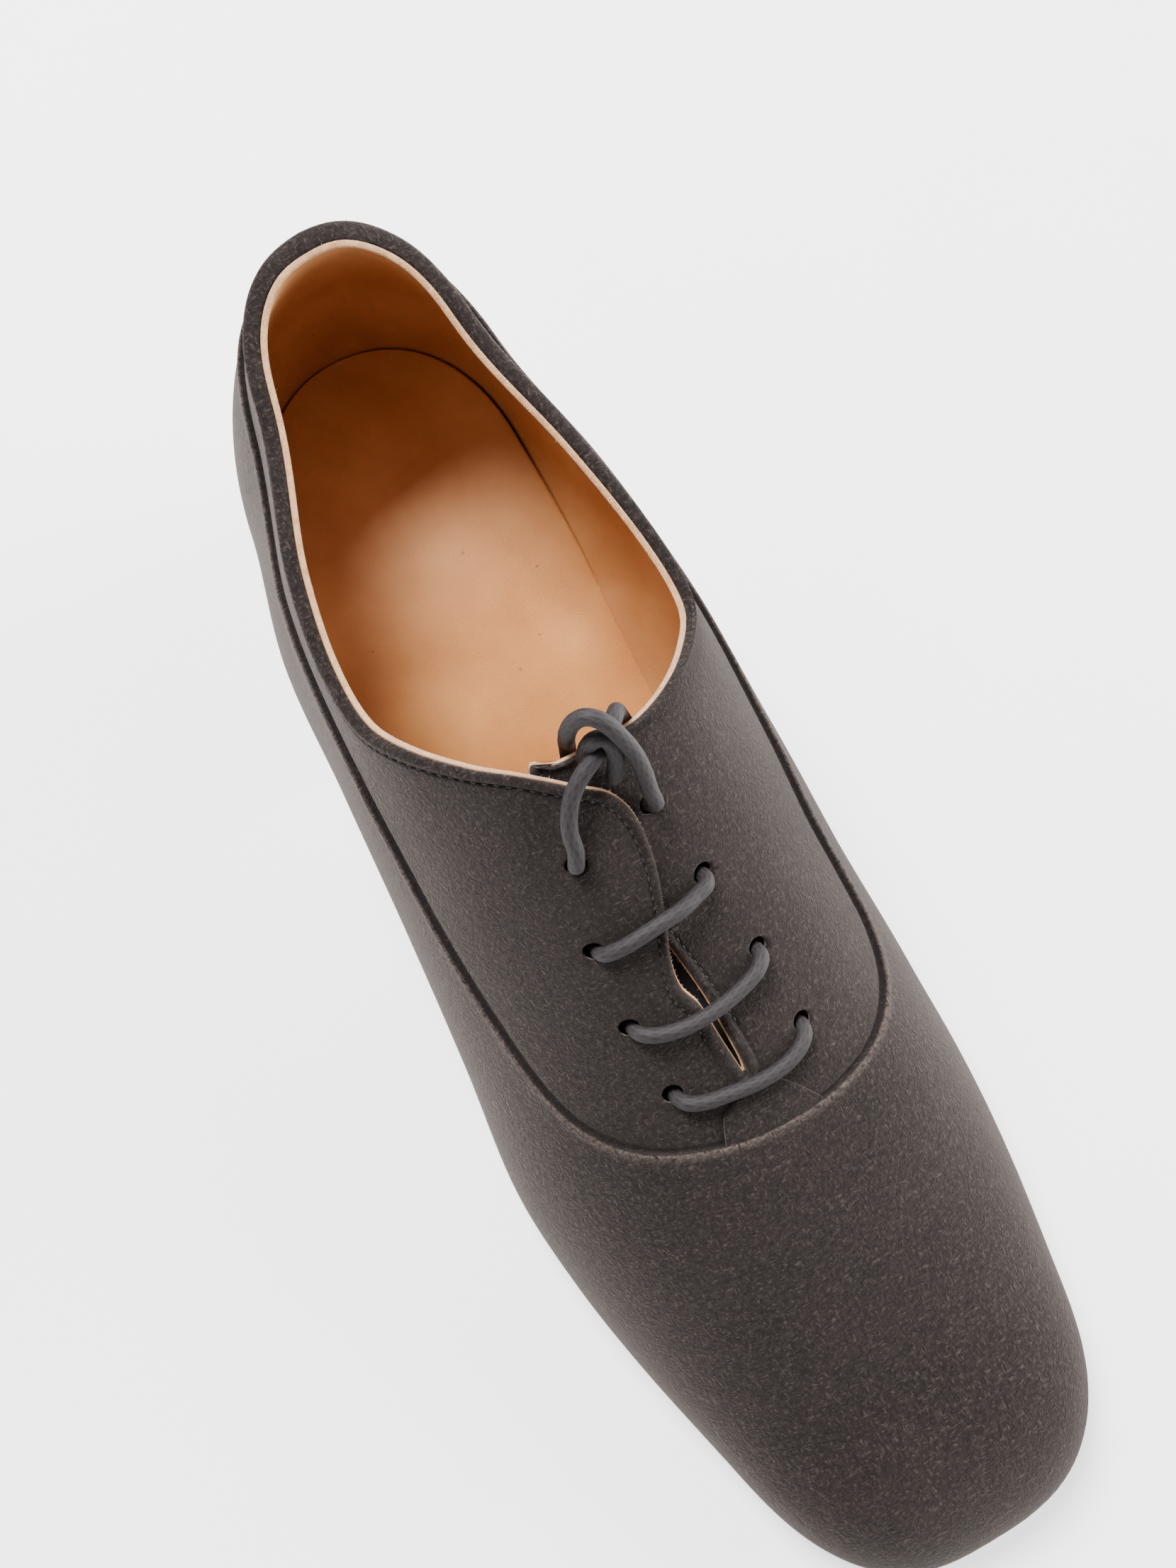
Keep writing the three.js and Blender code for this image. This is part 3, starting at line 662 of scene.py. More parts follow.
@dataclass(frozen=True)
class Suede:
    """Short-napped leather, dark olive grey, its nap brushed lighter in places; painted shade
    darkens the groove above the panel seam.
    """

    dark: Colour = colour("0f0c0b")
    base: Colour = colour("1c1615")
    light: Colour = colour("2a2321")
    fibre: Colour = colour("574c47")
    nap_height: float = 0.5 * MM

    def make(self) -> bpy.types.Material:
        """Builds the material."""
        g = Graph("suede")
        cloud = g.noise(g.place(), 0.04, 2.0, 0.5)
        brushed = g.noise(g.place((1, 0.4, 1), (0, 0, 20)), 0.22, 2.0, 0.5)
        nap = g.noise(g.place(), 1.1, 3.0, 0.65)
        strand_a = g.noise(g.place((1, 0.3, 0.6), (0, 0, 35)), 2.3, 2.0, 0.55, 0.6)
        strand_b = g.noise(g.place((0.33, 1, 0.7), (0, 0, -25)), 2.5, 2.0, 0.55, 0.6)
        which = g.ramp(g.noise(g.place(), 0.8, 1.0), 0.42, 0.58)
        strands = strand_a * which + strand_b * (1 - which)
        tone = g.blend(g.ramp(cloud * 0.6 + brushed * 0.4, 0.3, 0.7), self.dark, self.base)
        tone = g.blend(g.ramp(nap, 0.42, 0.66) * 0.6, tone, self.light)
        tone = g.blend(g.ramp(strands, 0.54, 0.74) * 0.4, tone, self.fibre)
        tone = g.blend(g.ramp(strands, 0.45, 0.3) * 0.7, tone, self.dark)
        seam = g.attribute("to_seam")
        # painted shade: the suede just above the panel seam, in the groove under the lower
        # panel's raised edge, is darkened towards near-black
        seam_groove_shade = g.ramp(seam, -1.3, -0.5) * g.ramp(seam, 0.06, -0.02)
        # the lower panel's raised edge just below the seam gets lighter fibres: the rough nap of
        # its cut edge, and partly a painted highlight where light catches that edge
        edge_nap_and_highlight = g.ramp(seam, 1.8, 0.3) * g.ramp(seam, 0.0, 0.12)
        tone = g.blend(seam_groove_shade * 0.6, tone, colour("0e0c0c"))
        tone = g.blend(edge_nap_and_highlight * g.ramp(strands, 0.3, 0.6) * 0.6, tone, self.fibre)
        height = strands * 0.6 + nap * 0.4
        return g.finish(
            base_color=tone,
            roughness=0.95,
            specular_ior_level=0.1,
            sheen_weight=0.22,
            sheen_roughness=0.5,
            sheen_tint=colour("c0b4ac"),
            normal=g.bump(height, self.nap_height),
        )


@dataclass(frozen=True)
class SlitShadeSheet:
    """Near-black sheet under the facings: painted shade that stands for the dark hollow below
    the slit and the lace holes.
    """

    base: Colour = colour("171314")

    def make(self) -> bpy.types.Material:
        """Builds the material."""
        g = Graph("painted_shade_sheet")
        sheet_texture = g.noise(g.place(), 3.0, 2.0)
        # near-black tone of a sheet that is painted shade of the hollow under the slit
        tone = g.blend(sheet_texture, self.base, colour("211b1b"))
        return g.finish(base_color=tone, roughness=1.0, normal=g.bump(sheet_texture, 0.1 * MM))


@dataclass(frozen=True)
class RawEdge:
    """Cut edge of undyed leather, light and fibrous."""

    light: Colour = colour("dfae7e")
    deep: Colour = colour("a8703f")

    def make(self) -> bpy.types.Material:
        """Builds the material."""
        g = Graph("raw_edge")
        fibres = g.noise(g.place((1, 1, 1)), 4.5, 3.0, 0.7, 0.8)
        patches = g.noise(g.place(), 0.7, 2.0)
        tone = g.blend(g.ramp(fibres * 0.7 + patches * 0.3, 0.35, 0.6), self.deep, self.light)
        return g.finish(
            base_color=tone,
            roughness=0.95,
            sheen_weight=0.3,
            normal=g.bump(fibres, 0.4 * MM),
        )


@dataclass(frozen=True)
class TanLeather:
    """Smooth tan leather of the lining and insole."""

    name: str = "lining_leather"
    base: Colour = colour("b8804f")
    deep: Colour = colour("a9703f")
    light: Colour = colour("c48d5a")
    roughness: float = 0.5
    specks: float = 0.5

    def make(self) -> bpy.types.Material:
        """Builds the material."""
        g = Graph(self.name)
        cloud = g.noise(g.place(), 0.045, 3.0, 0.5)
        grain = g.noise(g.place(), 2.6, 3.0, 0.6)
        pores = g.node(
            "ShaderNodeTexVoronoi",
            {"feature": "F1"},
            {"Vector": g.place(), "Scale": 1.4, "Randomness": 1.0},
        )
        speck_cells = g.node(
            "ShaderNodeTexVoronoi",
            {"feature": "F1"},
            {"Vector": g.place(), "Scale": 0.14, "Randomness": 1.0},
        )
        specks = g.ramp(speck_cells, 0.055, 0.035) * self.specks
        tone = g.blend(g.ramp(cloud, 0.35, 0.65), self.deep, self.light)
        tone = g.blend(g.ramp(grain, 0.4, 0.7) * 0.35, tone, self.base)
        tone = g.blend(specks, tone, colour("6b3d1c"))
        rough = self.roughness + grain * 0.12
        return g.finish(
            base_color=tone,
            roughness=rough,
            specular_ior_level=0.4,
            normal=g.bump(grain * 0.6 + g.ramp(pores, 0.0, 0.35) * 0.4, 0.08 * MM),
        )


@dataclass(frozen=True)
class HeelPlastic:
    """Satin dark grey of the heel, browner at its ground rim."""

    base: Colour = colour("242125")
    rim: Colour = colour("33281f")

    def make(self) -> bpy.types.Material:
        """Builds the material."""
        g = Graph("heel_satin")
        fine = g.noise(g.place(), 3.0, 3.0, 0.6)
        cloud = g.noise(g.place(), 0.06, 2.0)
        height = g.node("ShaderNodeSeparateXYZ", None, {0: g.place()}, "Z")
        tone = g.blend(g.ramp(cloud, 0.3, 0.7) * 0.3, self.base, colour("2b282c"))
        tone = g.blend(g.ramp(height, 1.5, 0.7), tone, self.rim)
        return g.finish(
            base_color=tone,
            roughness=0.33 + fine * 0.1,
            specular_ior_level=0.5,
            normal=g.bump(fine, 0.02 * MM),
        )


@dataclass(frozen=True)
class SoleRubber:
    """Dark grey edge and tread of the outsole."""

    base: Colour = colour("201e22")

    def make(self) -> bpy.types.Material:
        """Builds the material."""
        g = Graph("sole_rubber")
        fine = g.noise(g.place(), 2.2, 4.0, 0.6)
        cloud = g.noise(g.place(), 0.08, 2.0)
        tone = g.blend(g.ramp(cloud * 0.6 + fine * 0.4, 0.35, 0.65), self.base, colour("29272b"))
        return g.finish(
            base_color=tone,
            roughness=0.5 + fine * 0.15,
            normal=g.bump(fine, 0.06 * MM),
        )


@dataclass(frozen=True)
class WaxedLace:
    """Round braided lace, waxed, dark grey with a violet cast."""

    base: Colour = colour("151112")
    light: Colour = colour("3a3336")
    turns_per_mm: float = 0.3

    def make(self) -> bpy.types.Material:
        """Builds the material."""
        g = Graph("waxed_lace")
        uv = g.node("ShaderNodeTexCoord", out="UV")
        around = g.node("ShaderNodeSeparateXYZ", None, {0: uv}, "X")
        run = g.attribute("run_mm")
        left = g.maths("SINE", (around * 10.0 + run * self.turns_per_mm) * (2 * math.pi))
        right = g.maths("SINE", (around * 10.0 - run * self.turns_per_mm) * (2 * math.pi))
        braid = g.maths("MAXIMUM", left, right) * 0.5 + 0.5
        fibres = g.noise(g.place((1, 1, 1)), 5.0, 3.0, 0.65, 0.5)
        wax = g.noise(g.place(), 0.5, 2.0)
        tone = g.blend(
            g.ramp(braid * 0.25 + fibres * 0.75, 0.35, 0.85) * 0.7, self.base, self.light
        )
        return g.finish(
            base_color=tone,
            roughness=0.58 + wax * 0.15,
            specular_ior_level=0.3,
            normal=g.bump(braid * 0.4 + fibres * 0.6, 0.09 * MM),
        )


@dataclass(frozen=True)
class Thread:
    """Dark sewing thread."""

    base: Colour = colour("0d0b0b")

    def make(self) -> bpy.types.Material:
        """Builds the material."""
        g = Graph("thread")
        fine = g.noise(g.place(), 6.0, 2.0)
        tone = g.blend(fine, self.base, colour("1b1817"))
        return g.finish(base_color=tone, roughness=0.7, normal=g.bump(fine, 0.05 * MM))


# The shoe's pieces


@dataclass(frozen=True)
class Row:
    """One ring of a wall: how far up its panel it runs and how far off the last.

    share runs over the panel from its lower to its upper line. shift is added to it in
    millimetres along the wall, and height is in millimetres off the last.
    """

    share: float
    shift: float
    height: float
    upper: bool


@dataclass
class Upper:
    """Suede outside and leather lining of the shoe, one over the other."""

    last: Last
    suede: bpy.types.Material
    columns: int = 620
    lining_columns: int = 420
    panel_step: float = 1.1
    suede_inside: float = -0.8
    lining_outside: float = -0.87
    lining_inside: float = -2.0
    hole_radius: float = 1.95
    collar_roll: tuple = (
        (0.0, 2.5), (0.06, 1.4), (0.1, 1.3), (0.15, 1.1), (0.2, 0.6), (0.26, 0.0),
        (0.74, 0.0), (0.8, 0.4), (0.86, 0.8), (0.92, 1.4), (0.96, 1.4), (1.0, 2.5),
    )
    roll_profile: tuple = (
        (0.0, 0.0), (0.18, 0.35), (0.5, 0.6), (0.95, 0.82), (1.5, 0.95), (2.1, 1.0),
        (3.0, 1.0), (8.0, 0.6), (16.0, 0.0),
    )
    holes: tuple = (
        (0.467, -0.138), (0.514, -0.2), (0.565, -0.205), (0.617, -0.182),
        (0.461, 0.135), (0.509, 0.18), (0.564, 0.22), (0.618, 0.223),
    )

    def turns(self, u: Array) -> Array:
        """Spreads the columns, closer together on the facings."""
        turn = np.linspace(0.0, 1.0, 4001)
        facing = smooth(0.2, 0.25, turn) * (1 - smooth(0.75, 0.8, turn))
        base = smooth(0.39, 0.41, turn) * (1 - smooth(0.59, 0.61, turn))
        weight = 1.0 + 0.9 * facing - 1.2 * base
        run = np.concatenate([[0.0], np.cumsum((weight[1:] + weight[:-1]) / 2)])
        return np.interp(u, run / run[-1], turn)

    def panel_lengths(self, turn: Array) -> tuple[Array, Array]:
        """Real lengths up the lower and the upper panel at each turn, in millimetres."""
        lengths = []
        for low, high in (
            (self.last.feather(turn), self.last.seam(turn)),
            (self.last.seam(turn), self.last.edge(turn)),
        ):
            steps = [self.last.surface(*mix(low, high, t)) for t in np.linspace(0, 1, 17)]
            pieces = [np.linalg.norm(b - a, axis=-1) for a, b in zip(steps, steps[1:])]
            lengths.append(sum(pieces) / MM)
        return lengths[0], lengths[1]

    def suede_rows(self) -> list[Row]:
        """Rings of the suede, from inside its foot, up its outside and down its back."""
        step = self.panel_step
        rows = [
            Row(0, 0.0, 0.0, False), Row(0, 0.0, step - 0.6, False),
            Row(0, 0.15, step - 0.15, False), Row(0, 0.6, step, False),
        ]
        rows += [Row(t**1.25, 1.2 - 2.6 * t**1.25, step, False) for t in np.linspace(0, 1, 36)]
        for shift, height in (
            (-0.8, 1.16), (-0.45, 1.14), (-0.2, 1.02), (-0.05, 0.82), (0.0, 0.55),
            (0.03, 0.15), (0.12, -0.2), (0.4, -0.42), (0.75, -0.34), (1.1, -0.12),
        ):
            rows.append(Row(1, shift, height * step / 1.1, False))
        rows += [Row(t, 1.4 - 5.6 * t, 0.0, True) for t in np.linspace(0, 1, 28)]
        for shift, height in (
            (-3.7, 0.0), (-3.3, -0.06), (-2.95, -0.24), (-2.6, 0.0), (-2.1, 0.34),
            (-1.5, 0.52), (-0.95, 0.5), (-0.5, 0.32), (-0.18, 0.04), (0.0, -0.36),
            (0.0, self.suede_inside),
        ):
            rows.append(Row(1, shift, height, True))
        inside = self.suede_inside
        rows += [Row(t, 0.0, inside, True) for t in np.linspace(0.85, 0.1, 5)]
        rows += [Row(t, 0.0, inside, False) for t in np.linspace(0.97, 0.0, 8)]
        return rows

    def lining_rows(self) -> list[Row]:
        """Rings of the lining, up its hidden outside, over its cut edge and down inside."""
        out, inside = self.lining_outside, self.lining_inside
        rows = [Row(t, 0.0, out, False) for t in np.linspace(0.0, 0.97, 8)]
        rows += [Row(t, -0.3 * t, out, True) for t in np.linspace(0.1, 1, 6)]
        for shift, height in (
            (0.12, out), (0.24, out - 0.1), (0.27, -1.2), (0.27, -1.5),
            (0.2, -1.82), (0.05, -1.94), (-0.25, inside),
        ):
            rows.append(Row(1, shift, height, True))
        rows += [Row(t, -0.6 * t, inside, True) for t in np.linspace(1, 0.04, 26)]
        rows += [Row(t, 0.0, inside, False) for t in np.linspace(1, 0.0, 30)]
        return rows

    def ring_grid(self, columns: int, rows: list[Row]) -> bmesh.types.BMesh:
        """A closed wall through rings, the last ring joined to the first.

        Args:
            columns: faces round the shoe.
            rows: its rings.

        Returns:
            The wall, with the distances to the opening's edge and to the seam, in
            millimetres, kept on its points.
        """
        ring = [*rows, rows[0]]
        share = np.array([r.share for r in ring])
        shift = np.array([r.shift for r in ring])
        height = np.array([r.height for r in ring]) * MM
        upper = np.array([r.upper for r in ring])
        count = len(rows)

        def read(u: Array, v: Array) -> tuple[Array, Array, Plan, Array, Array]:
            """Turn, ring, plan place and distances to edge and seam for each point."""
            turn = self.turns(u)
            k = np.rint(v * count).astype(int)
            lower_run, upper_run = self.panel_lengths(turn)
            run = np.where(upper[k], upper_run, lower_run)
            t = share[k] + shift[k] / run
            seam = self.last.seam(turn)
            low = mix(self.last.feather(turn), seam, t)
            on_upper = upper[k] | (t > 1)
            past = np.where(upper[k], t, (t - 1) * lower_run / upper_run)
            high = mix(seam, self.last.edge(turn), past)
            plan = (
                np.where(on_upper, high[0], low[0]),
                np.where(on_upper, high[1], low[1]),
            )
            to_edge = np.where(on_upper, (1 - past) * upper_run, upper_run + (1 - t) * lower_run)
            return turn, k, plan, to_edge, to_edge - upper_run

        def place(u: Array, v: Array) -> Array:
            """Points of the wall, its foot level."""
            turn, k, plan, to_edge, _ = read(u, v)
            outside = smooth(-0.5 * MM, 0.0, height[k])
            rolled = self.roll(turn, to_edge) * outside
            points = self.last.on_wall(turn, plan, height[k] + rolled)
            foot = (share[k] == 0) & (shift[k] <= 0) & ~upper[k]
            level = self.last.feather_height(self.last.feather(turn)[0])
            points[:, 2] = np.where(foot, level, np.maximum(points[:, 2], level))
            return points

        def labels(u: Array, v: Array) -> dict[str, Array]:
            """Distances for the finishes."""
            _, k, _, to_edge, to_seam = read(u, v)
            return {"to_edge": to_edge, "to_seam": to_seam, "height": height[k] / MM}

        return mapped_grid(columns, count, place, labels)

    def drill(self, piece: bpy.types.Object, radius: float) -> bpy.types.Object:
        """Cuts the lace holes through a piece.

        Args:
            piece: the suede or the lining.
            radius: radius of the holes, in millimetres.

        Returns:
            The same piece, with its new mesh.
        """
        bm = bmesh.new()
        for along, across in self.holes:
            at, over = np.array([along]), np.array([across])
            lift = self.last.facing_lift(over < 0, at, over)
            normal = Vector(self.last.normal(at, over)[0])
            middle = Vector(self.last.off(at, over, lift - 1.0 * MM)[0])
            turn = normal.to_track_quat("Z", "Y").to_matrix().to_4x4()
            bmesh.ops.create_cone(
                bm, cap_ends=True, segments=40, radius1=radius * MM,
                radius2=radius * MM, depth=5 * MM, matrix=Matrix.Translation(middle) @ turn,
            )
        cutter = new_piece("drill", bm)
        cut = piece.modifiers.new("holes", "BOOLEAN")
        cut.operation, cut.solver, cut.object = "DIFFERENCE", "MANIFOLD", cutter
        graph = bpy.context.evaluated_depsgraph_get()
        cut_mesh = bpy.data.meshes.new_from_object(piece.evaluated_get(graph))
        piece.modifiers.clear()
        piece.data = cut_mesh
        bpy.data.objects.remove(cutter)
        return piece

    def build(self) -> list[bpy.types.Object]:
        """Builds the suede and the lining."""
        pieces = []
        for name, rows, columns, radius in (
            ("upper_suede", self.suede_rows(), self.columns, self.hole_radius),
            ("upper_lining", self.lining_rows(), self.lining_columns, self.hole_radius + 1.0),
        ):
            bm = self.ring_grid(columns, rows)
            shade_smooth(bm)
            piece = self.drill(new_piece(name, bm), radius)
            piece.data.materials.clear()
            for polygon in piece.data.polygons:
                polygon.use_smooth = True
            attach(piece, BODY)
            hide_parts("upper")
            pieces.append(piece)
        suede, lining = pieces
        suede.data.materials.append(self.suede)
        lining.data.materials.append(TanLeather().make())
        lining.data.materials.append(RawEdge().make())
        self.mark_raw(lining)
        return pieces

    def mark_raw(self, lining: bpy.types.Object) -> None:
        """Gives the lining's cut edge its own finish."""
        values = lining.data.attributes["to_edge"].data
        distance = np.zeros(len(lining.data.vertices), np.float32)
        values.foreach_get("value", distance)
        for polygon in lining.data.polygons:
            if max(distance[k] for k in polygon.vertices) < 0.3:
                polygon.material_index = 1

    def roll(self, turn: Array, to_edge: Array) -> Array:
        """How far the rolled collar stands out below its edge, in metres."""
        most = np.interp(turn, *zip(*self.collar_roll))
        share = np.interp(to_edge, *zip(*self.roll_profile))
        return most * share * MM


@dataclass
class SlitTab:
    """The half-moon tab sewn over the base of the slit."""

    last: Last
    suede: bpy.types.Material
    foot: float = 0.672
    thickness: float = 0.6
    shade_sheet_depth: float = -4.3
    edge: tuple = (
        (0.664, -0.125), (0.648, -0.097), (0.64, -0.05), (0.638, 0.01), (0.641, 0.075),
        (0.652, 0.12), (0.668, 0.165),
    )

    def build(self) -> list[bpy.types.Object]:
        """Builds the tab as a thin closed patch."""
        rim = through_points(np.array([(a, c, 0.0) for a, c in self.edge]), 49)
        profile = (
            (1.0, 0.6), (0.75, 0.6), (0.5, 0.6), (0.3, 0.6), (0.16, 0.6), (0.09, 0.58),
            (0.04, 0.5), (0.015, 0.38), (0.0, 0.2), (0.0, -0.2), (0.5, -0.25),
            (1.0, -0.25), (1.0, 0.6),
        )
        inset = np.array([p[0] for p in profile])
        height = np.array([p[1] for p in profile]) * self.thickness / 0.6 * MM

        def place(u: Array, v: Array) -> Array:
            """Points of the patch, from its foot over its top to its back."""
            k = np.rint(v * (len(profile) - 1)).astype(int)
            s = u * (len(rim) - 1)
            along = np.interp(s, np.arange(len(rim)), rim[:, 0])
            across = np.interp(s, np.arange(len(rim)), rim[:, 1])
            reach = self.foot - along
            return self.last.off(along + reach * inset[k], across, height[k])

        def labels(u: Array, v: Array) -> dict[str, Array]:
            """Keeps the seam's painted shade and lightened edge off the tab."""
            return {"to_seam": np.full_like(u, 10.0)}

        bm = mapped_grid(96, len(profile) - 1, place, labels)
        shade_smooth(bm)
        piece = new_piece("slit_tab", bm)
        piece.data.materials.append(self.suede)
        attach(piece, BODY)
        return [piece, self.shade_sheet()]

    def shade_sheet(self) -> bpy.types.Object:
        """Builds the near-black sheet that lies under the slit and the lace holes, painted shade
        for the dark hollow below them.
        """

        def place(u: Array, v: Array) -> Array:
            """Points of the near-black shade sheet, below the facings."""
            along = 0.452 + 0.19 * v
            return self.last.off(along, -0.31 + 0.62 * u, self.shade_sheet_depth * MM)

        def labels(u: Array, v: Array) -> dict[str, Array]:
            """Keeps the seam's painted shade and lightened edge off the near-black shade sheet.
            """
            return {"to_seam": np.full_like(u, 10.0)}

        bm = mapped_grid(32, 32, place, labels)
        bmesh.ops.solidify(bm, geom=bm.faces[:], thickness=0.5 * MM)
        bmesh.ops.recalc_face_normals(bm, faces=bm.faces)
        shade_smooth(bm, 40)
        piece = new_piece("slit_shade_sheet", bm)
        # near-black finish: painted shade of the hollow under the slit and the lace holes
        piece.data.materials.append(SlitShadeSheet().make())
        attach(piece, BODY)
        return piece


@dataclass
class Footbed:
    """The tan leather insole, with a fine gap round its edge."""

    last: Last
    thickness: float = 3.0
    gap: float = 0.35
    wall: float = 2.0
    dish: float = 0.5

    def build(self) -> list[bpy.types.Object]:
        """Builds the insole as a closed layer."""
        last = self.last
        def rim(half: Array, rho: Array, distance: float) -> tuple[Array, Array]:
            """Outer and inner points of the outline at a depth inside the wall."""
            return tuple(
                last.off(*last.inward(turn, rho), distance * MM)
                for turn in (half / 2, 1 - half / 2)
            )

        def place(u: Array, v: Array) -> Array:
            """Points of the insole: u runs round a section and v from heel to toe."""
            half = 0.5 - 0.5 * np.cos(np.pi * v)
            half = half * 0.7 + v * 0.3
            at = last.feather(half / 2)[0]
            crest = last.section(at)("crest") * last.instep_height
            theta = np.arcsin(np.clip(self.thickness * MM / crest, 0, 0.5))
            top_outer, top_inner = rim(half, 1 - 2 * theta / np.pi, -self.wall - self.gap)
            low_outer, low_inner = rim(half, np.ones_like(half), -self.wall - 0.4)
            over = u < 0.6
            across = np.where(over, u / 0.6, 1 - (u - 0.6) / 0.4)
            a, b = np.where(over[:, None], top_outer, low_outer), np.where(
                over[:, None], top_inner, low_inner
            )
            points = a + (b - a) * across[:, None]
            level = last.feather_height(at)
            width = np.linalg.norm(b - a, axis=-1) / MM
            from_edge = np.minimum(across, 1 - across) * width
            round_off = 0.45 * np.exp(-((from_edge / 0.35) ** 2))
            hollow = self.dish * smooth(0.0, 14.0, from_edge)
            top = level + (self.thickness - round_off - hollow) * MM
            points[:, 2] = np.where(over, top, level + 0.05 * MM)
            return points

        bm = mapped_grid(160, 150, place, weld=2e-6)
        bmesh.ops.holes_fill(bm, edges=bm.edges, sides=0)
        bmesh.ops.recalc_face_normals(bm, faces=bm.faces)
        shade_smooth(bm)
        piece = new_piece("insole_leather", bm)
        leather = TanLeather(
            name="insole_leather", base=colour("bf7f44"), deep=colour("b27239"),
            light=colour("ca8c50"), roughness=0.42, specks=0.55,
        )
        piece.data.materials.append(leather.make())
        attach(piece, BODY)
        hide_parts("insole")
        return [piece]


@dataclass
class Bottom:
    """The outsole and the block heel under the upper."""

    last: Last
    overhang: float = 0.4
    edge_round: float = 1.4
    taper: float = 0.02

    def outline(self, half: Array) -> tuple[Array, Array]:
        """Outer and inner outline points, pushed out from the feather line."""
        last = self.last
        result = []
        for side in Side:
            def line(h: Array) -> Array:
                """Feather points on this side."""
                turn = h / 2 if side is Side.OUTER else 1 - h / 2
                return last.surface(*last.feather(turn))
            step = 0.004
            here = line(half)
            run = line(np.clip(half + step, 0, 1)) - line(np.clip(half - step, 0, 1))
            run[:, 2] = 0.0
            run /= np.linalg.norm(run, axis=-1, keepdims=True)
            out = np.stack([run[:, 1], -run[:, 0], np.zeros_like(half)], -1)
            sign = 1.0 if side is Side.OUTER else -1.0
            result.append(here + sign * out * self.overhang * MM)
        return result[0], result[1]

    def half_at(self, x: float) -> float:
        """The half turn where the outline reaches an x of the shared frame."""
        last = self.last
        share = ((x + last.heel_length / 2) / last.length - last.heel_pole) / (
            last.toe_pole - last.heel_pole
        )
        return last.heel_turn + share * (last.toe_turn - last.heel_turn)

    def outsole(self) -> bpy.types.Object:
        """Builds the outsole, from the heel's front face to the toe."""
        last = self.last
        start = self.half_at(last.heel_length / 2 + last.clearance)
        thick = last.sole_thickness / MM
        corner = [
            (self.edge_round * (1 - math.sin(a)), -thick + self.edge_round * (1 - math.cos(a)))
            for a in np.linspace(math.pi / 2, 0, 7)
        ]
        flank = [(0.35, 0.0), (0.1, -0.1), (0.0, -0.35), (0.0, -1.4), *corner]
        inset = np.array([f[0] for f in flank])
        drop = np.array([f[1] for f in flank])
        side_count, tread = len(flank), 24
        total = 2 * side_count + 2 * tread

        def place(u: Array, v: Array) -> Array:
            """Points round a section, top first, for stations from heel to toe."""
            k = np.rint(u * total).astype(int) % total
            half = start + (1 - start) * (0.75 * v + 0.25 * np.sin(v * np.pi / 2))
            outer, inner = self.outline(half)
            level = last.height_at_x((outer[:, 0] + inner[:, 0]) / 2) - last.clearance
            gap = np.maximum(np.linalg.norm(inner - outer, axis=-1), 1e-9) / MM
            on_top = k < tread
            on_inner = (k >= tread) & (k < tread + side_count)
            on_foot = (k >= tread + side_count) & (k < 2 * tread + side_count)
            j_inner = np.clip(k - tread, 0, side_count - 1)
            j_outer = np.clip(total - 1 - k, 0, side_count - 1)
            shrink = np.minimum(1.0, gap / 2 / (self.edge_round + 0.3))
            low = inset[-1] * shrink
            top = inset[0] * shrink
            walk_top = (k + 0.5) / tread
            walk_foot = 1 - (k - tread - side_count + 0.5) / tread
            across = np.select(
                [on_top, on_inner, on_foot],
                [
                    top + (gap - 2 * top) * walk_top,
                    gap - inset[j_inner] * shrink,
                    low + (gap - 2 * low) * walk_foot,
                ],
                inset[j_outer] * shrink,
            )
            z = np.select(
                [on_top, on_inner, on_foot],
                [np.zeros_like(gap), drop[j_inner], np.full_like(gap, -thick)],
                drop[j_outer],
            )
            points = outer + (inner - outer) * (across / gap)[:, None]
            points[:, 2] = level + z * MM
            return points

        bm = mapped_grid(total, 170, place, weld=2e-6)
        bmesh.ops.holes_fill(bm, edges=bm.edges, sides=0)
        bmesh.ops.recalc_face_normals(bm, faces=bm.faces)
        shade_smooth(bm, 50)
        piece = new_piece("outsole_edge", bm)
        piece.data.materials.append(SoleRubber().make())
        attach(piece, BODY)
        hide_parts("outsole")
        return piece

    def heel(self) -> bpy.types.Object:
        """Builds the heel from its outline, extruded to the ground and bevelled."""
        last = self.last
        end = self.half_at(last.heel_length / 2)
        side_count, front = 90, 12
        half = end * (1 - np.cos(np.linspace(0, 1, side_count) * np.pi / 2) ** 1.2)
        half[0] = 0.0
        outer, inner = self.outline(half)
        inner[0] = outer[0] = (outer[0] + inner[0]) / 2
        across = np.linspace(0, 1, front + 1)[1:-1, None]
        breast = outer[-1] + (inner[-1] - outer[-1]) * across
        ring = np.vstack([outer, breast, inner[:0:-1]])
        ring[:, 2] = last.height_at_x(ring[:, 0]) - last.clearance
        bm = bmesh.new()
        bmesh.ops.create_circle(bm, cap_ends=True, segments=len(ring), radius=0.03)
        bm.verts.ensure_lookup_table()
        for vert, point in zip(bm.verts, ring):
            vert.co = point
        top = bm.faces[:]
        made = bmesh.ops.extrude_face_region(bm, geom=top)
        for vert in (v for v in made["geom"] if isinstance(v, bmesh.types.BMVert)):
            shrink = 1 - self.taper
            vert.co = (vert.co.x * shrink, vert.co.y * shrink, 0.0)
        bmesh.ops.recalc_face_normals(bm, faces=bm.faces)
        sharp = [e for e in bm.edges if e.calc_face_angle(0.0) > math.radians(35)]
        bmesh.ops.bevel(
            bm, geom=sharp, offset=0.5 * MM, offset_type="OFFSET", affect="EDGES",
            segments=3, profile=0.5, material=-1, clamp_overlap=True,
        )
        shade_smooth(bm, 30)
        piece = new_piece("heel_shell", bm)
        piece.data.materials.append(HeelPlastic().make())
        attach(piece, BODY)
        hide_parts("heel_block")
        return piece

    def build(self) -> list[bpy.types.Object]:
        """Builds the outsole and the heel."""
        return [self.outsole(), self.heel()]


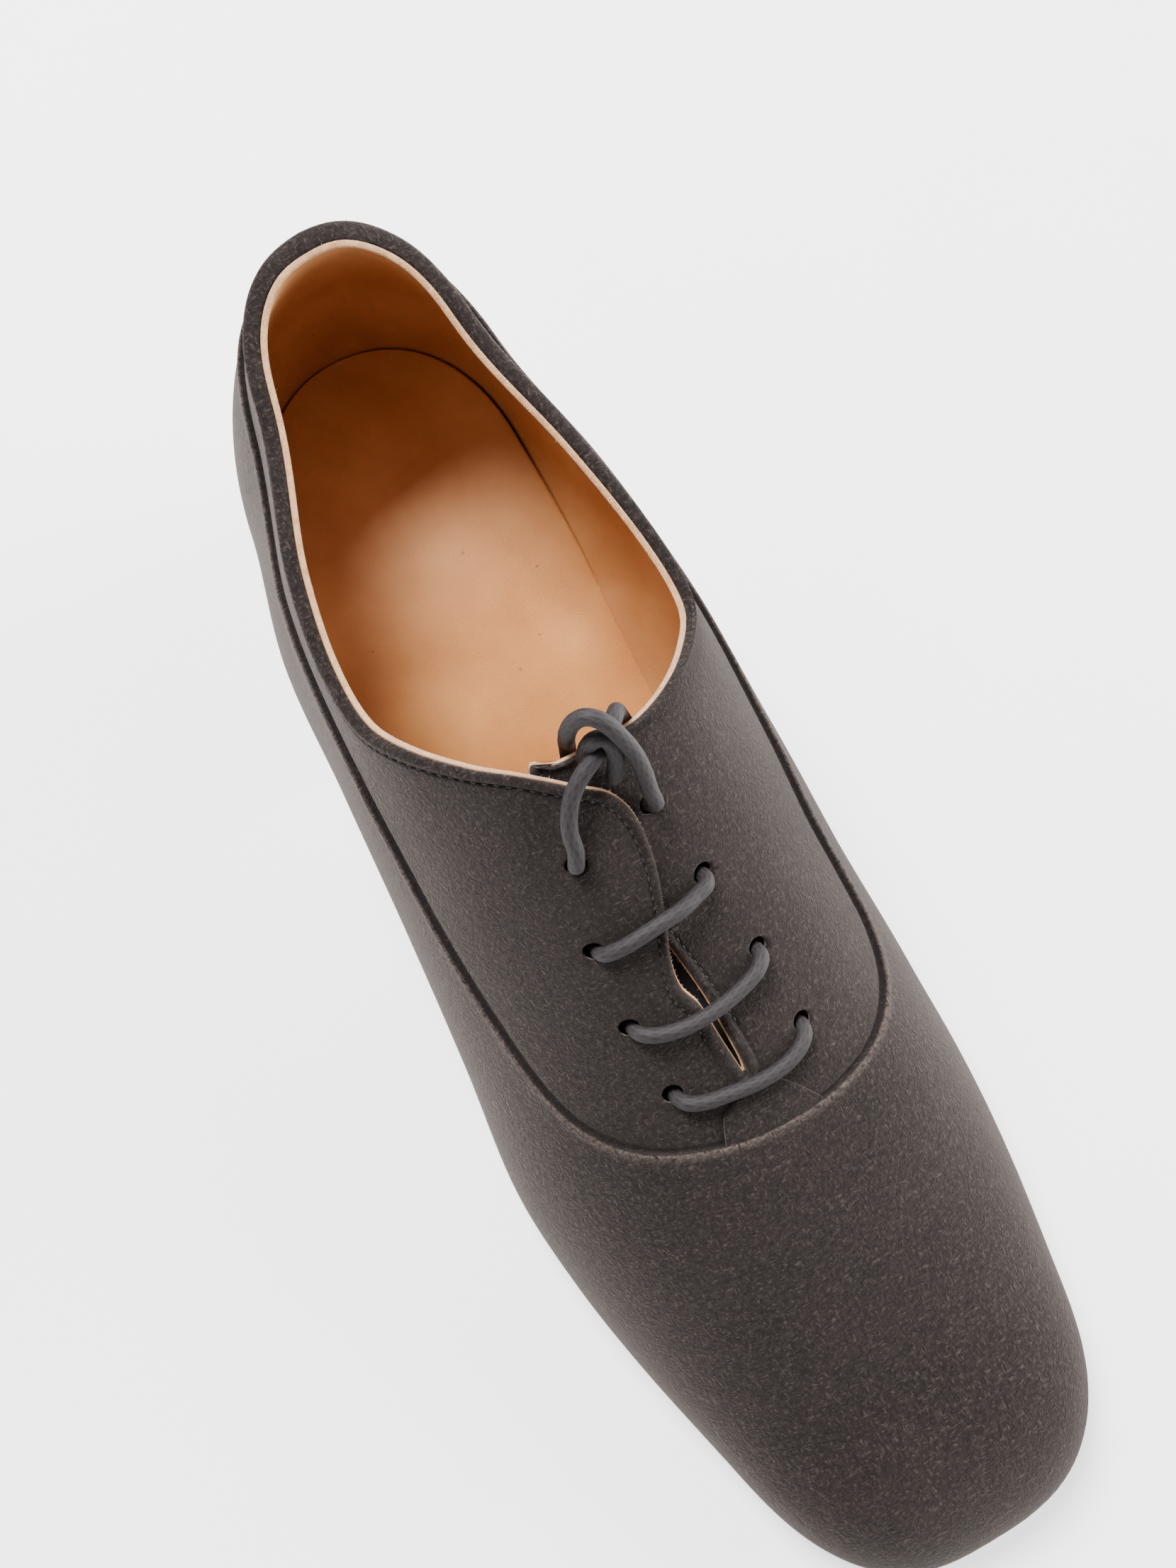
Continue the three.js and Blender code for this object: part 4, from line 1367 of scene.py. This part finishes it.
@dataclass
class Stitching:
    """Small stitches that lie in the groove below the edge of the opening."""

    last: Last
    upper: Upper
    from_edge: float = 2.85
    pitch: float = 1.9
    stitch: float = 1.25
    radius: float = 0.26

    def build(self) -> list[bpy.types.Object]:
        """Builds the row of stitches round the opening, but for the slit's base."""
        turn = np.linspace(0.0, 1.0, 4001)
        _, run = self.upper.panel_lengths(turn)
        plan = mix(self.last.seam(turn), self.last.edge(turn), 1 - self.from_edge / run)
        rolled = self.upper.roll(turn, np.full_like(turn, self.from_edge))
        line = self.last.on_wall(turn, plan, rolled - 0.08 * MM)
        normal = self.last.normal(*plan)
        steps = np.linalg.norm(np.diff(line, axis=0), axis=1) / MM
        travel = np.concatenate([[0.0], np.cumsum(steps)])
        bm = bmesh.new()
        for middle in np.arange(self.pitch / 2, travel[-1], self.pitch):
            at = np.interp(middle, travel, turn)
            if 0.385 < at < 0.625:
                continue
            ends = [
                Vector([np.interp(middle + d, travel, line[:, k]) for k in range(3)])
                for d in (-self.stitch / 2, self.stitch / 2)
            ]
            up = Vector([np.interp(middle, travel, normal[:, k]) for k in range(3)])
            ahead = (ends[1] - ends[0]).normalized()
            beside = up.cross(ahead).normalized()
            size = ends[1] - ends[0]
            turned = Matrix((ahead, beside, ahead.cross(beside))).transposed().to_4x4()
            centre = (ends[0] + ends[1]) / 2
            scale = Matrix.Diagonal((size.length / 2, self.radius * MM, self.radius * MM, 1))
            bmesh.ops.create_icosphere(
                bm, subdivisions=1, radius=1.0,
                matrix=Matrix.Translation(centre) @ turned @ scale,
            )
        shade_smooth(bm)
        piece = new_piece("edge_stitches", bm)
        piece.data.materials.append(Thread().make())
        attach(piece, BODY)
        return [piece]


@dataclass
class EdgeFibres:
    """Loose leather fibres that stand up along the cut edge of the lining."""

    last: Last
    upper: Upper
    pitch: float = 0.42
    thickness: float = 0.07
    seed: int = 7

    def build(self) -> list[bpy.types.Object]:
        """Builds the fibres as fine three-sided points of one mesh."""
        turn = np.linspace(0.0, 1.0, 4001)
        _, run = self.upper.panel_lengths(turn)
        plan = mix(self.last.seam(turn), self.last.edge(turn), 1 + 0.1 / run)
        top = self.last.on_wall(turn, plan, -0.9 * MM)
        low = self.last.on_wall(turn, plan, -1.9 * MM)
        plan = mix(self.last.seam(turn), self.last.edge(turn), 1 + 1.1 / run)
        out = self.last.on_wall(turn, plan, -1.4 * MM) - (top + low) / 2
        steps = np.linalg.norm(np.diff(top, axis=0), axis=1) / MM
        travel = np.concatenate([[0.0], np.cumsum(steps)])
        chance = np.random.default_rng(self.seed)
        bm = bmesh.new()
        for middle in np.arange(0.0, travel[-1], self.pitch):
            at = np.interp(middle + chance.uniform(-0.2, 0.2), travel, turn)
            if 0.37 < at < 0.64:
                continue
            i = int(round(at * 4000))
            root = top[i] + (low[i] - top[i]) * chance.uniform(0.0, 1.0)
            lean = chance.normal(0.0, 0.45, 3)
            way = Vector(out[i] / np.linalg.norm(out[i]) + lean).normalized()
            length = chance.uniform(0.25, 0.75) * MM
            turned = way.to_track_quat("Z", "Y").to_matrix().to_4x4()
            centre = Vector(root) + way * (length * 0.4)
            bmesh.ops.create_cone(
                bm, cap_ends=True, segments=3, radius1=self.thickness * MM,
                radius2=0.0, depth=length, matrix=Matrix.Translation(centre) @ turned,
            )
        piece = new_piece("raw_edge_fibres", bm)
        piece.data.materials.append(bpy.data.materials["raw_edge"])
        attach(piece, BODY)
        return [piece]


@dataclass
class Lacing:
    """The round lace: its bars through the holes and its tied top."""

    last: Last
    diameter: float = 2.8
    sides: int = 20
    bars: tuple = (
        (
            (0.5175, -0.2, -2.6), (0.5175, -0.194, -0.6), (0.5175, -0.168, 1.5),
            (0.5175, -0.11, 2.4), (0.517, -0.06, 2.45), (0.5165, 0.0, 2.35),
            (0.516, 0.06, 2.0), (0.5148, 0.11, 1.1), (0.513, 0.152, 0.6),
            (0.5115, 0.174, -0.9), (0.5108, 0.186, -3.2),
        ),
        (
            (0.5685, -0.205, -2.6), (0.569, -0.199, -0.6), (0.5715, -0.178, 1.3),
            (0.576, -0.135, 1.95), (0.579, -0.083, 2.05), (0.5803, -0.03, 1.95),
            (0.58, 0.03, 1.7), (0.5775, 0.107, 1.25), (0.5728, 0.168, 1.1),
            (0.5682, 0.203, 0.2), (0.5662, 0.222, -2.4),
        ),
        (
            (0.6205, -0.182, -2.6), (0.6215, -0.177, -0.6), (0.6245, -0.156, 1.3),
            (0.629, -0.115, 1.6), (0.6325, -0.048, 1.6), (0.6353, 0.03, 1.6),
            (0.6348, 0.1, 1.6), (0.631, 0.162, 1.4), (0.6253, 0.203, 0.8),
            (0.6218, 0.22, -0.6), (0.6205, 0.23, -2.4),
        ),
    )
    outer_strand: tuple = (
        (0.467, -0.138, -0.3), (0.4655, -0.1362, 1.8), (0.4561, -0.1172, 3.2),
        (0.446, -0.1088, 3.4), (0.4375, -0.0892, 3.3), (0.4299, -0.0599, 3.4),
        (0.4239, -0.0213, 3.6), (0.4195, 0.0222, 3.6), (0.4173, 0.061, 2.7),
        (0.4138, 0.0923, 2.3), (0.4088, 0.118, 2.3), (0.4069, 0.1503, 0.6),
        (0.4095, 0.1855, -2.4), (0.4149, 0.229, -5.6), (0.4217, 0.2646, -7.6),
        (0.4276, 0.2876, -8.6),
    )
    inner_strand: tuple = (
        (0.461, 0.135, -2.8), (0.4592, 0.136, 0.4), (0.4484, 0.1257, 2.4),
        (0.4382, 0.123, 3.8), (0.4287, 0.1169, 5.2), (0.4193, 0.1057, 6.6),
        (0.411, 0.0925, 7.6), (0.4045, 0.0811, 8.2), (0.399, 0.069, 8.4),
        (0.3951, 0.0544, 8.0), (0.3937, 0.037, 7.0), (0.3957, 0.0159, 5.4),
        (0.4013, 0.0003, 3.0), (0.4087, -0.0022, -0.6), (0.4159, 0.002, -4.4),
        (0.4249, 0.0006, -7.4), (0.4336, -0.0122, -9.0),
    )
    wrap_strand: tuple = (
        (0.4366, 0.0647, 0.5), (0.4287, 0.0739, 2.6), (0.4202, 0.0765, 4.6),
        (0.4129, 0.0725, 5.6), (0.4088, 0.0608, 5.7), (0.4087, 0.043, 5.0),
        (0.4131, 0.0293, 2.8), (0.4203, 0.0168, 0.3),
    )

    def line(self, strand: tuple, count: int) -> Array:
        """The middle line of a strand given in plan coordinates and heights."""
        rows = np.array(strand)
        points = self.last.off(rows[:, 0], rows[:, 1], rows[:, 2] * MM)
        return through_points(points, count)

    def tube(self, name: str, line: Array) -> bpy.types.Object:
        """A round tube with domed ends along a line.

        Args:
            name: the piece's name.
            line: points of its middle line.

        Returns:
            The piece, which rides on the body, with its length kept on its points.
        """
        ahead, beside, above = line_frames(line)
        run = np.concatenate([[0.0], np.cumsum(np.linalg.norm(np.diff(line, axis=0), axis=1))])
        caps = 4
        count = len(line) - 1 + 2 * caps
        radius = self.diameter / 2 * MM

        def spots(v: Array) -> tuple[Array, Array, Array]:
            """Line index, radius share and end reach for each row."""
            k = np.rint(v * count).astype(int)
            near = np.clip(caps - k, 0, caps) / caps
            far = np.clip(k - (count - caps), 0, caps) / caps
            angle = (near + far) * np.pi / 2
            index = np.clip(k - caps, 0, len(line) - 1)
            return index, np.cos(angle), (np.sign(far - near)) * np.sin(angle)

        def place(u: Array, v: Array) -> Array:
            """Points round the tube."""
            i, share, reach = spots(v)
            a = u * 2 * np.pi
            ring = beside[i] * np.cos(a)[:, None] + above[i] * np.sin(a)[:, None]
            domed = line[i] + ahead[i] * (reach * radius)[:, None]
            return domed + ring * (share * radius)[:, None]

        def labels(u: Array, v: Array) -> dict[str, Array]:
            """Distance along the lace in millimetres."""
            i, _, reach = spots(v)
            return {"run_mm": run[i] / MM + reach * self.diameter / 2}

        bm = mapped_grid(self.sides, count, place, labels)
        shade_smooth(bm)
        piece = new_piece(name, bm)
        piece.data.materials.append(
            bpy.data.materials.get("waxed_lace") or WaxedLace().make()
        )
        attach(piece, BODY)
        return piece

    def cords(self) -> list[bpy.types.Object]:
        """Builds the tied top: two strands and the turn that binds them."""
        wrap = self.tube("knot_turn", self.line(self.wrap_strand, 40))
        outer_line = self.line(self.outer_strand, 80)
        inner_line = self.line(self.inner_strand, 84)
        outer = self.tube("lace_outer_strand", outer_line)
        inner = self.tube("lace_inner_strand", inner_line)
        for piece, line, end, extra in (
            (outer, outer_line, "object", [wrap]),
            (inner, inner_line, "object", []),
        ):
            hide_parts("lace_knot")
        return [outer, inner, wrap]

    def crossings(self) -> list[bpy.types.Object]:
        """Builds the three bars across the facings."""
        pieces = []
        for row, strand in enumerate(self.bars, start=2):
            piece = self.tube(f"lace_crossing_{row}", self.line(strand, 64))
            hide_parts(f"lace_bar_{row}")
            pieces.append(piece)
        return pieces


@dataclass
class Studio:
    """Camera at the photograph's angle, pale floor and soft lights."""

    camera_at: tuple = (0.12962, -0.03049, 0.32318)
    azimuth: float = -29.418
    elevation: float = 75.760
    roll: float = -0.152
    lens: float = 34.44

    def camera(self) -> bpy.types.Object:
        """Places the camera."""
        a, e, r = (math.radians(x) for x in (self.azimuth, self.elevation, self.roll))
        back = Vector((math.cos(a) * math.cos(e), math.sin(a) * math.cos(e), math.sin(e)))
        right = (-back).cross(Vector((0, 0, 1))).normalized()
        up = right.cross(-back)
        rolled_right = right * math.cos(r) + up * math.sin(r)
        rolled_up = up * math.cos(r) - right * math.sin(r)
        data = bpy.data.cameras.new("camera")
        data.lens, data.sensor_width = self.lens, 36.0
        data.clip_start, data.clip_end = 0.01, 20.0
        camera = bpy.data.objects.new("camera", data)
        turned = Matrix((rolled_right, rolled_up, back)).transposed().to_4x4()
        camera.matrix_world = Matrix.Translation(Vector(self.camera_at)) @ turned
        bpy.context.scene.collection.objects.link(camera)
        bpy.context.scene.camera = camera
        return camera

    def floor(self) -> bpy.types.Object:
        """Makes the floor, large enough for every view."""
        bm = bmesh.new()
        bmesh.ops.create_grid(bm, x_segments=8, y_segments=8, size=6.0)
        floor = new_piece("floor", bm)
        g = Graph("pale_floor")
        grain = g.noise(g.place(), 0.02, 2.0)
        tone = g.blend(grain, colour("f4f1f2"), colour("f7f5f5"))
        material = g.finish(
            base_color=tone, roughness=0.8, emission_color=tone, emission_strength=1.1
        )
        floor.data.materials.append(material)
        return floor

    def light(self, name: str, at: tuple, to: tuple, size: float, watts: float) -> None:
        """Adds a soft square light.

        Args:
            name: its name.
            at: where it hangs.
            to: where it points.
            size: its side, in metres.
            watts: its power.
        """
        data = bpy.data.lights.new(name, "AREA")
        data.size, data.energy = size, watts
        lamp = bpy.data.objects.new(name, data)
        away = Vector(at) - Vector(to)
        turned = away.to_track_quat("Z", "Y").to_matrix().to_4x4()
        lamp.matrix_world = Matrix.Translation(Vector(at)) @ turned
        bpy.context.scene.collection.objects.link(lamp)

    def lights(self) -> None:
        """Hangs the lights and sets the even white surroundings."""
        middle = (0.08, 0.0, 0.04)
        self.light("key", (-0.55, -0.12, 1.15), middle, 0.5, 56.0)
        self.light("window", (0.35, 1.25, 0.45), middle, 1.0, 50.0)
        self.light("fill", (0.2, -1.1, 0.9), middle, 1.2, 5.0)
        world = bpy.data.worlds.new("surroundings")
        bpy.context.scene.world = world
        world.use_nodes = True
        background = world.node_tree.nodes["Background"]
        background.inputs["Color"].default_value = (1.0, 1.0, 1.0, 1.0)
        background.inputs["Strength"].default_value = 0.36


def report(pieces: list[bpy.types.Object]) -> None:
    """Logs each piece and its size."""
    for piece in pieces:
        triangles = sum(len(p.vertices) - 2 for p in piece.data.polygons)
        size = [round(s / MM, 1) for s in piece.dimensions]
        LOG.info("%s: %d triangles, %s mm", piece.name, triangles, size)


def main() -> None:
    """Builds the stage and every piece in order."""
    logging.basicConfig(level=logging.INFO, format="%(message)s")
    last = Last()
    studio = Studio()
    studio.camera()
    lacing = Lacing(last)
    report(lacing.cords())
    studio.floor()
    studio.lights()
    suede = Suede().make()
    upper = Upper(last, suede)
    report(upper.build())
    report(SlitTab(last, suede).build())
    report(Footbed(last).build())
    report(Bottom(last).build())
    report(Stitching(last, upper).build())
    report(EdgeFibres(last, upper).build())
    report(lacing.crossings())


if __name__ == "__main__":
    main()
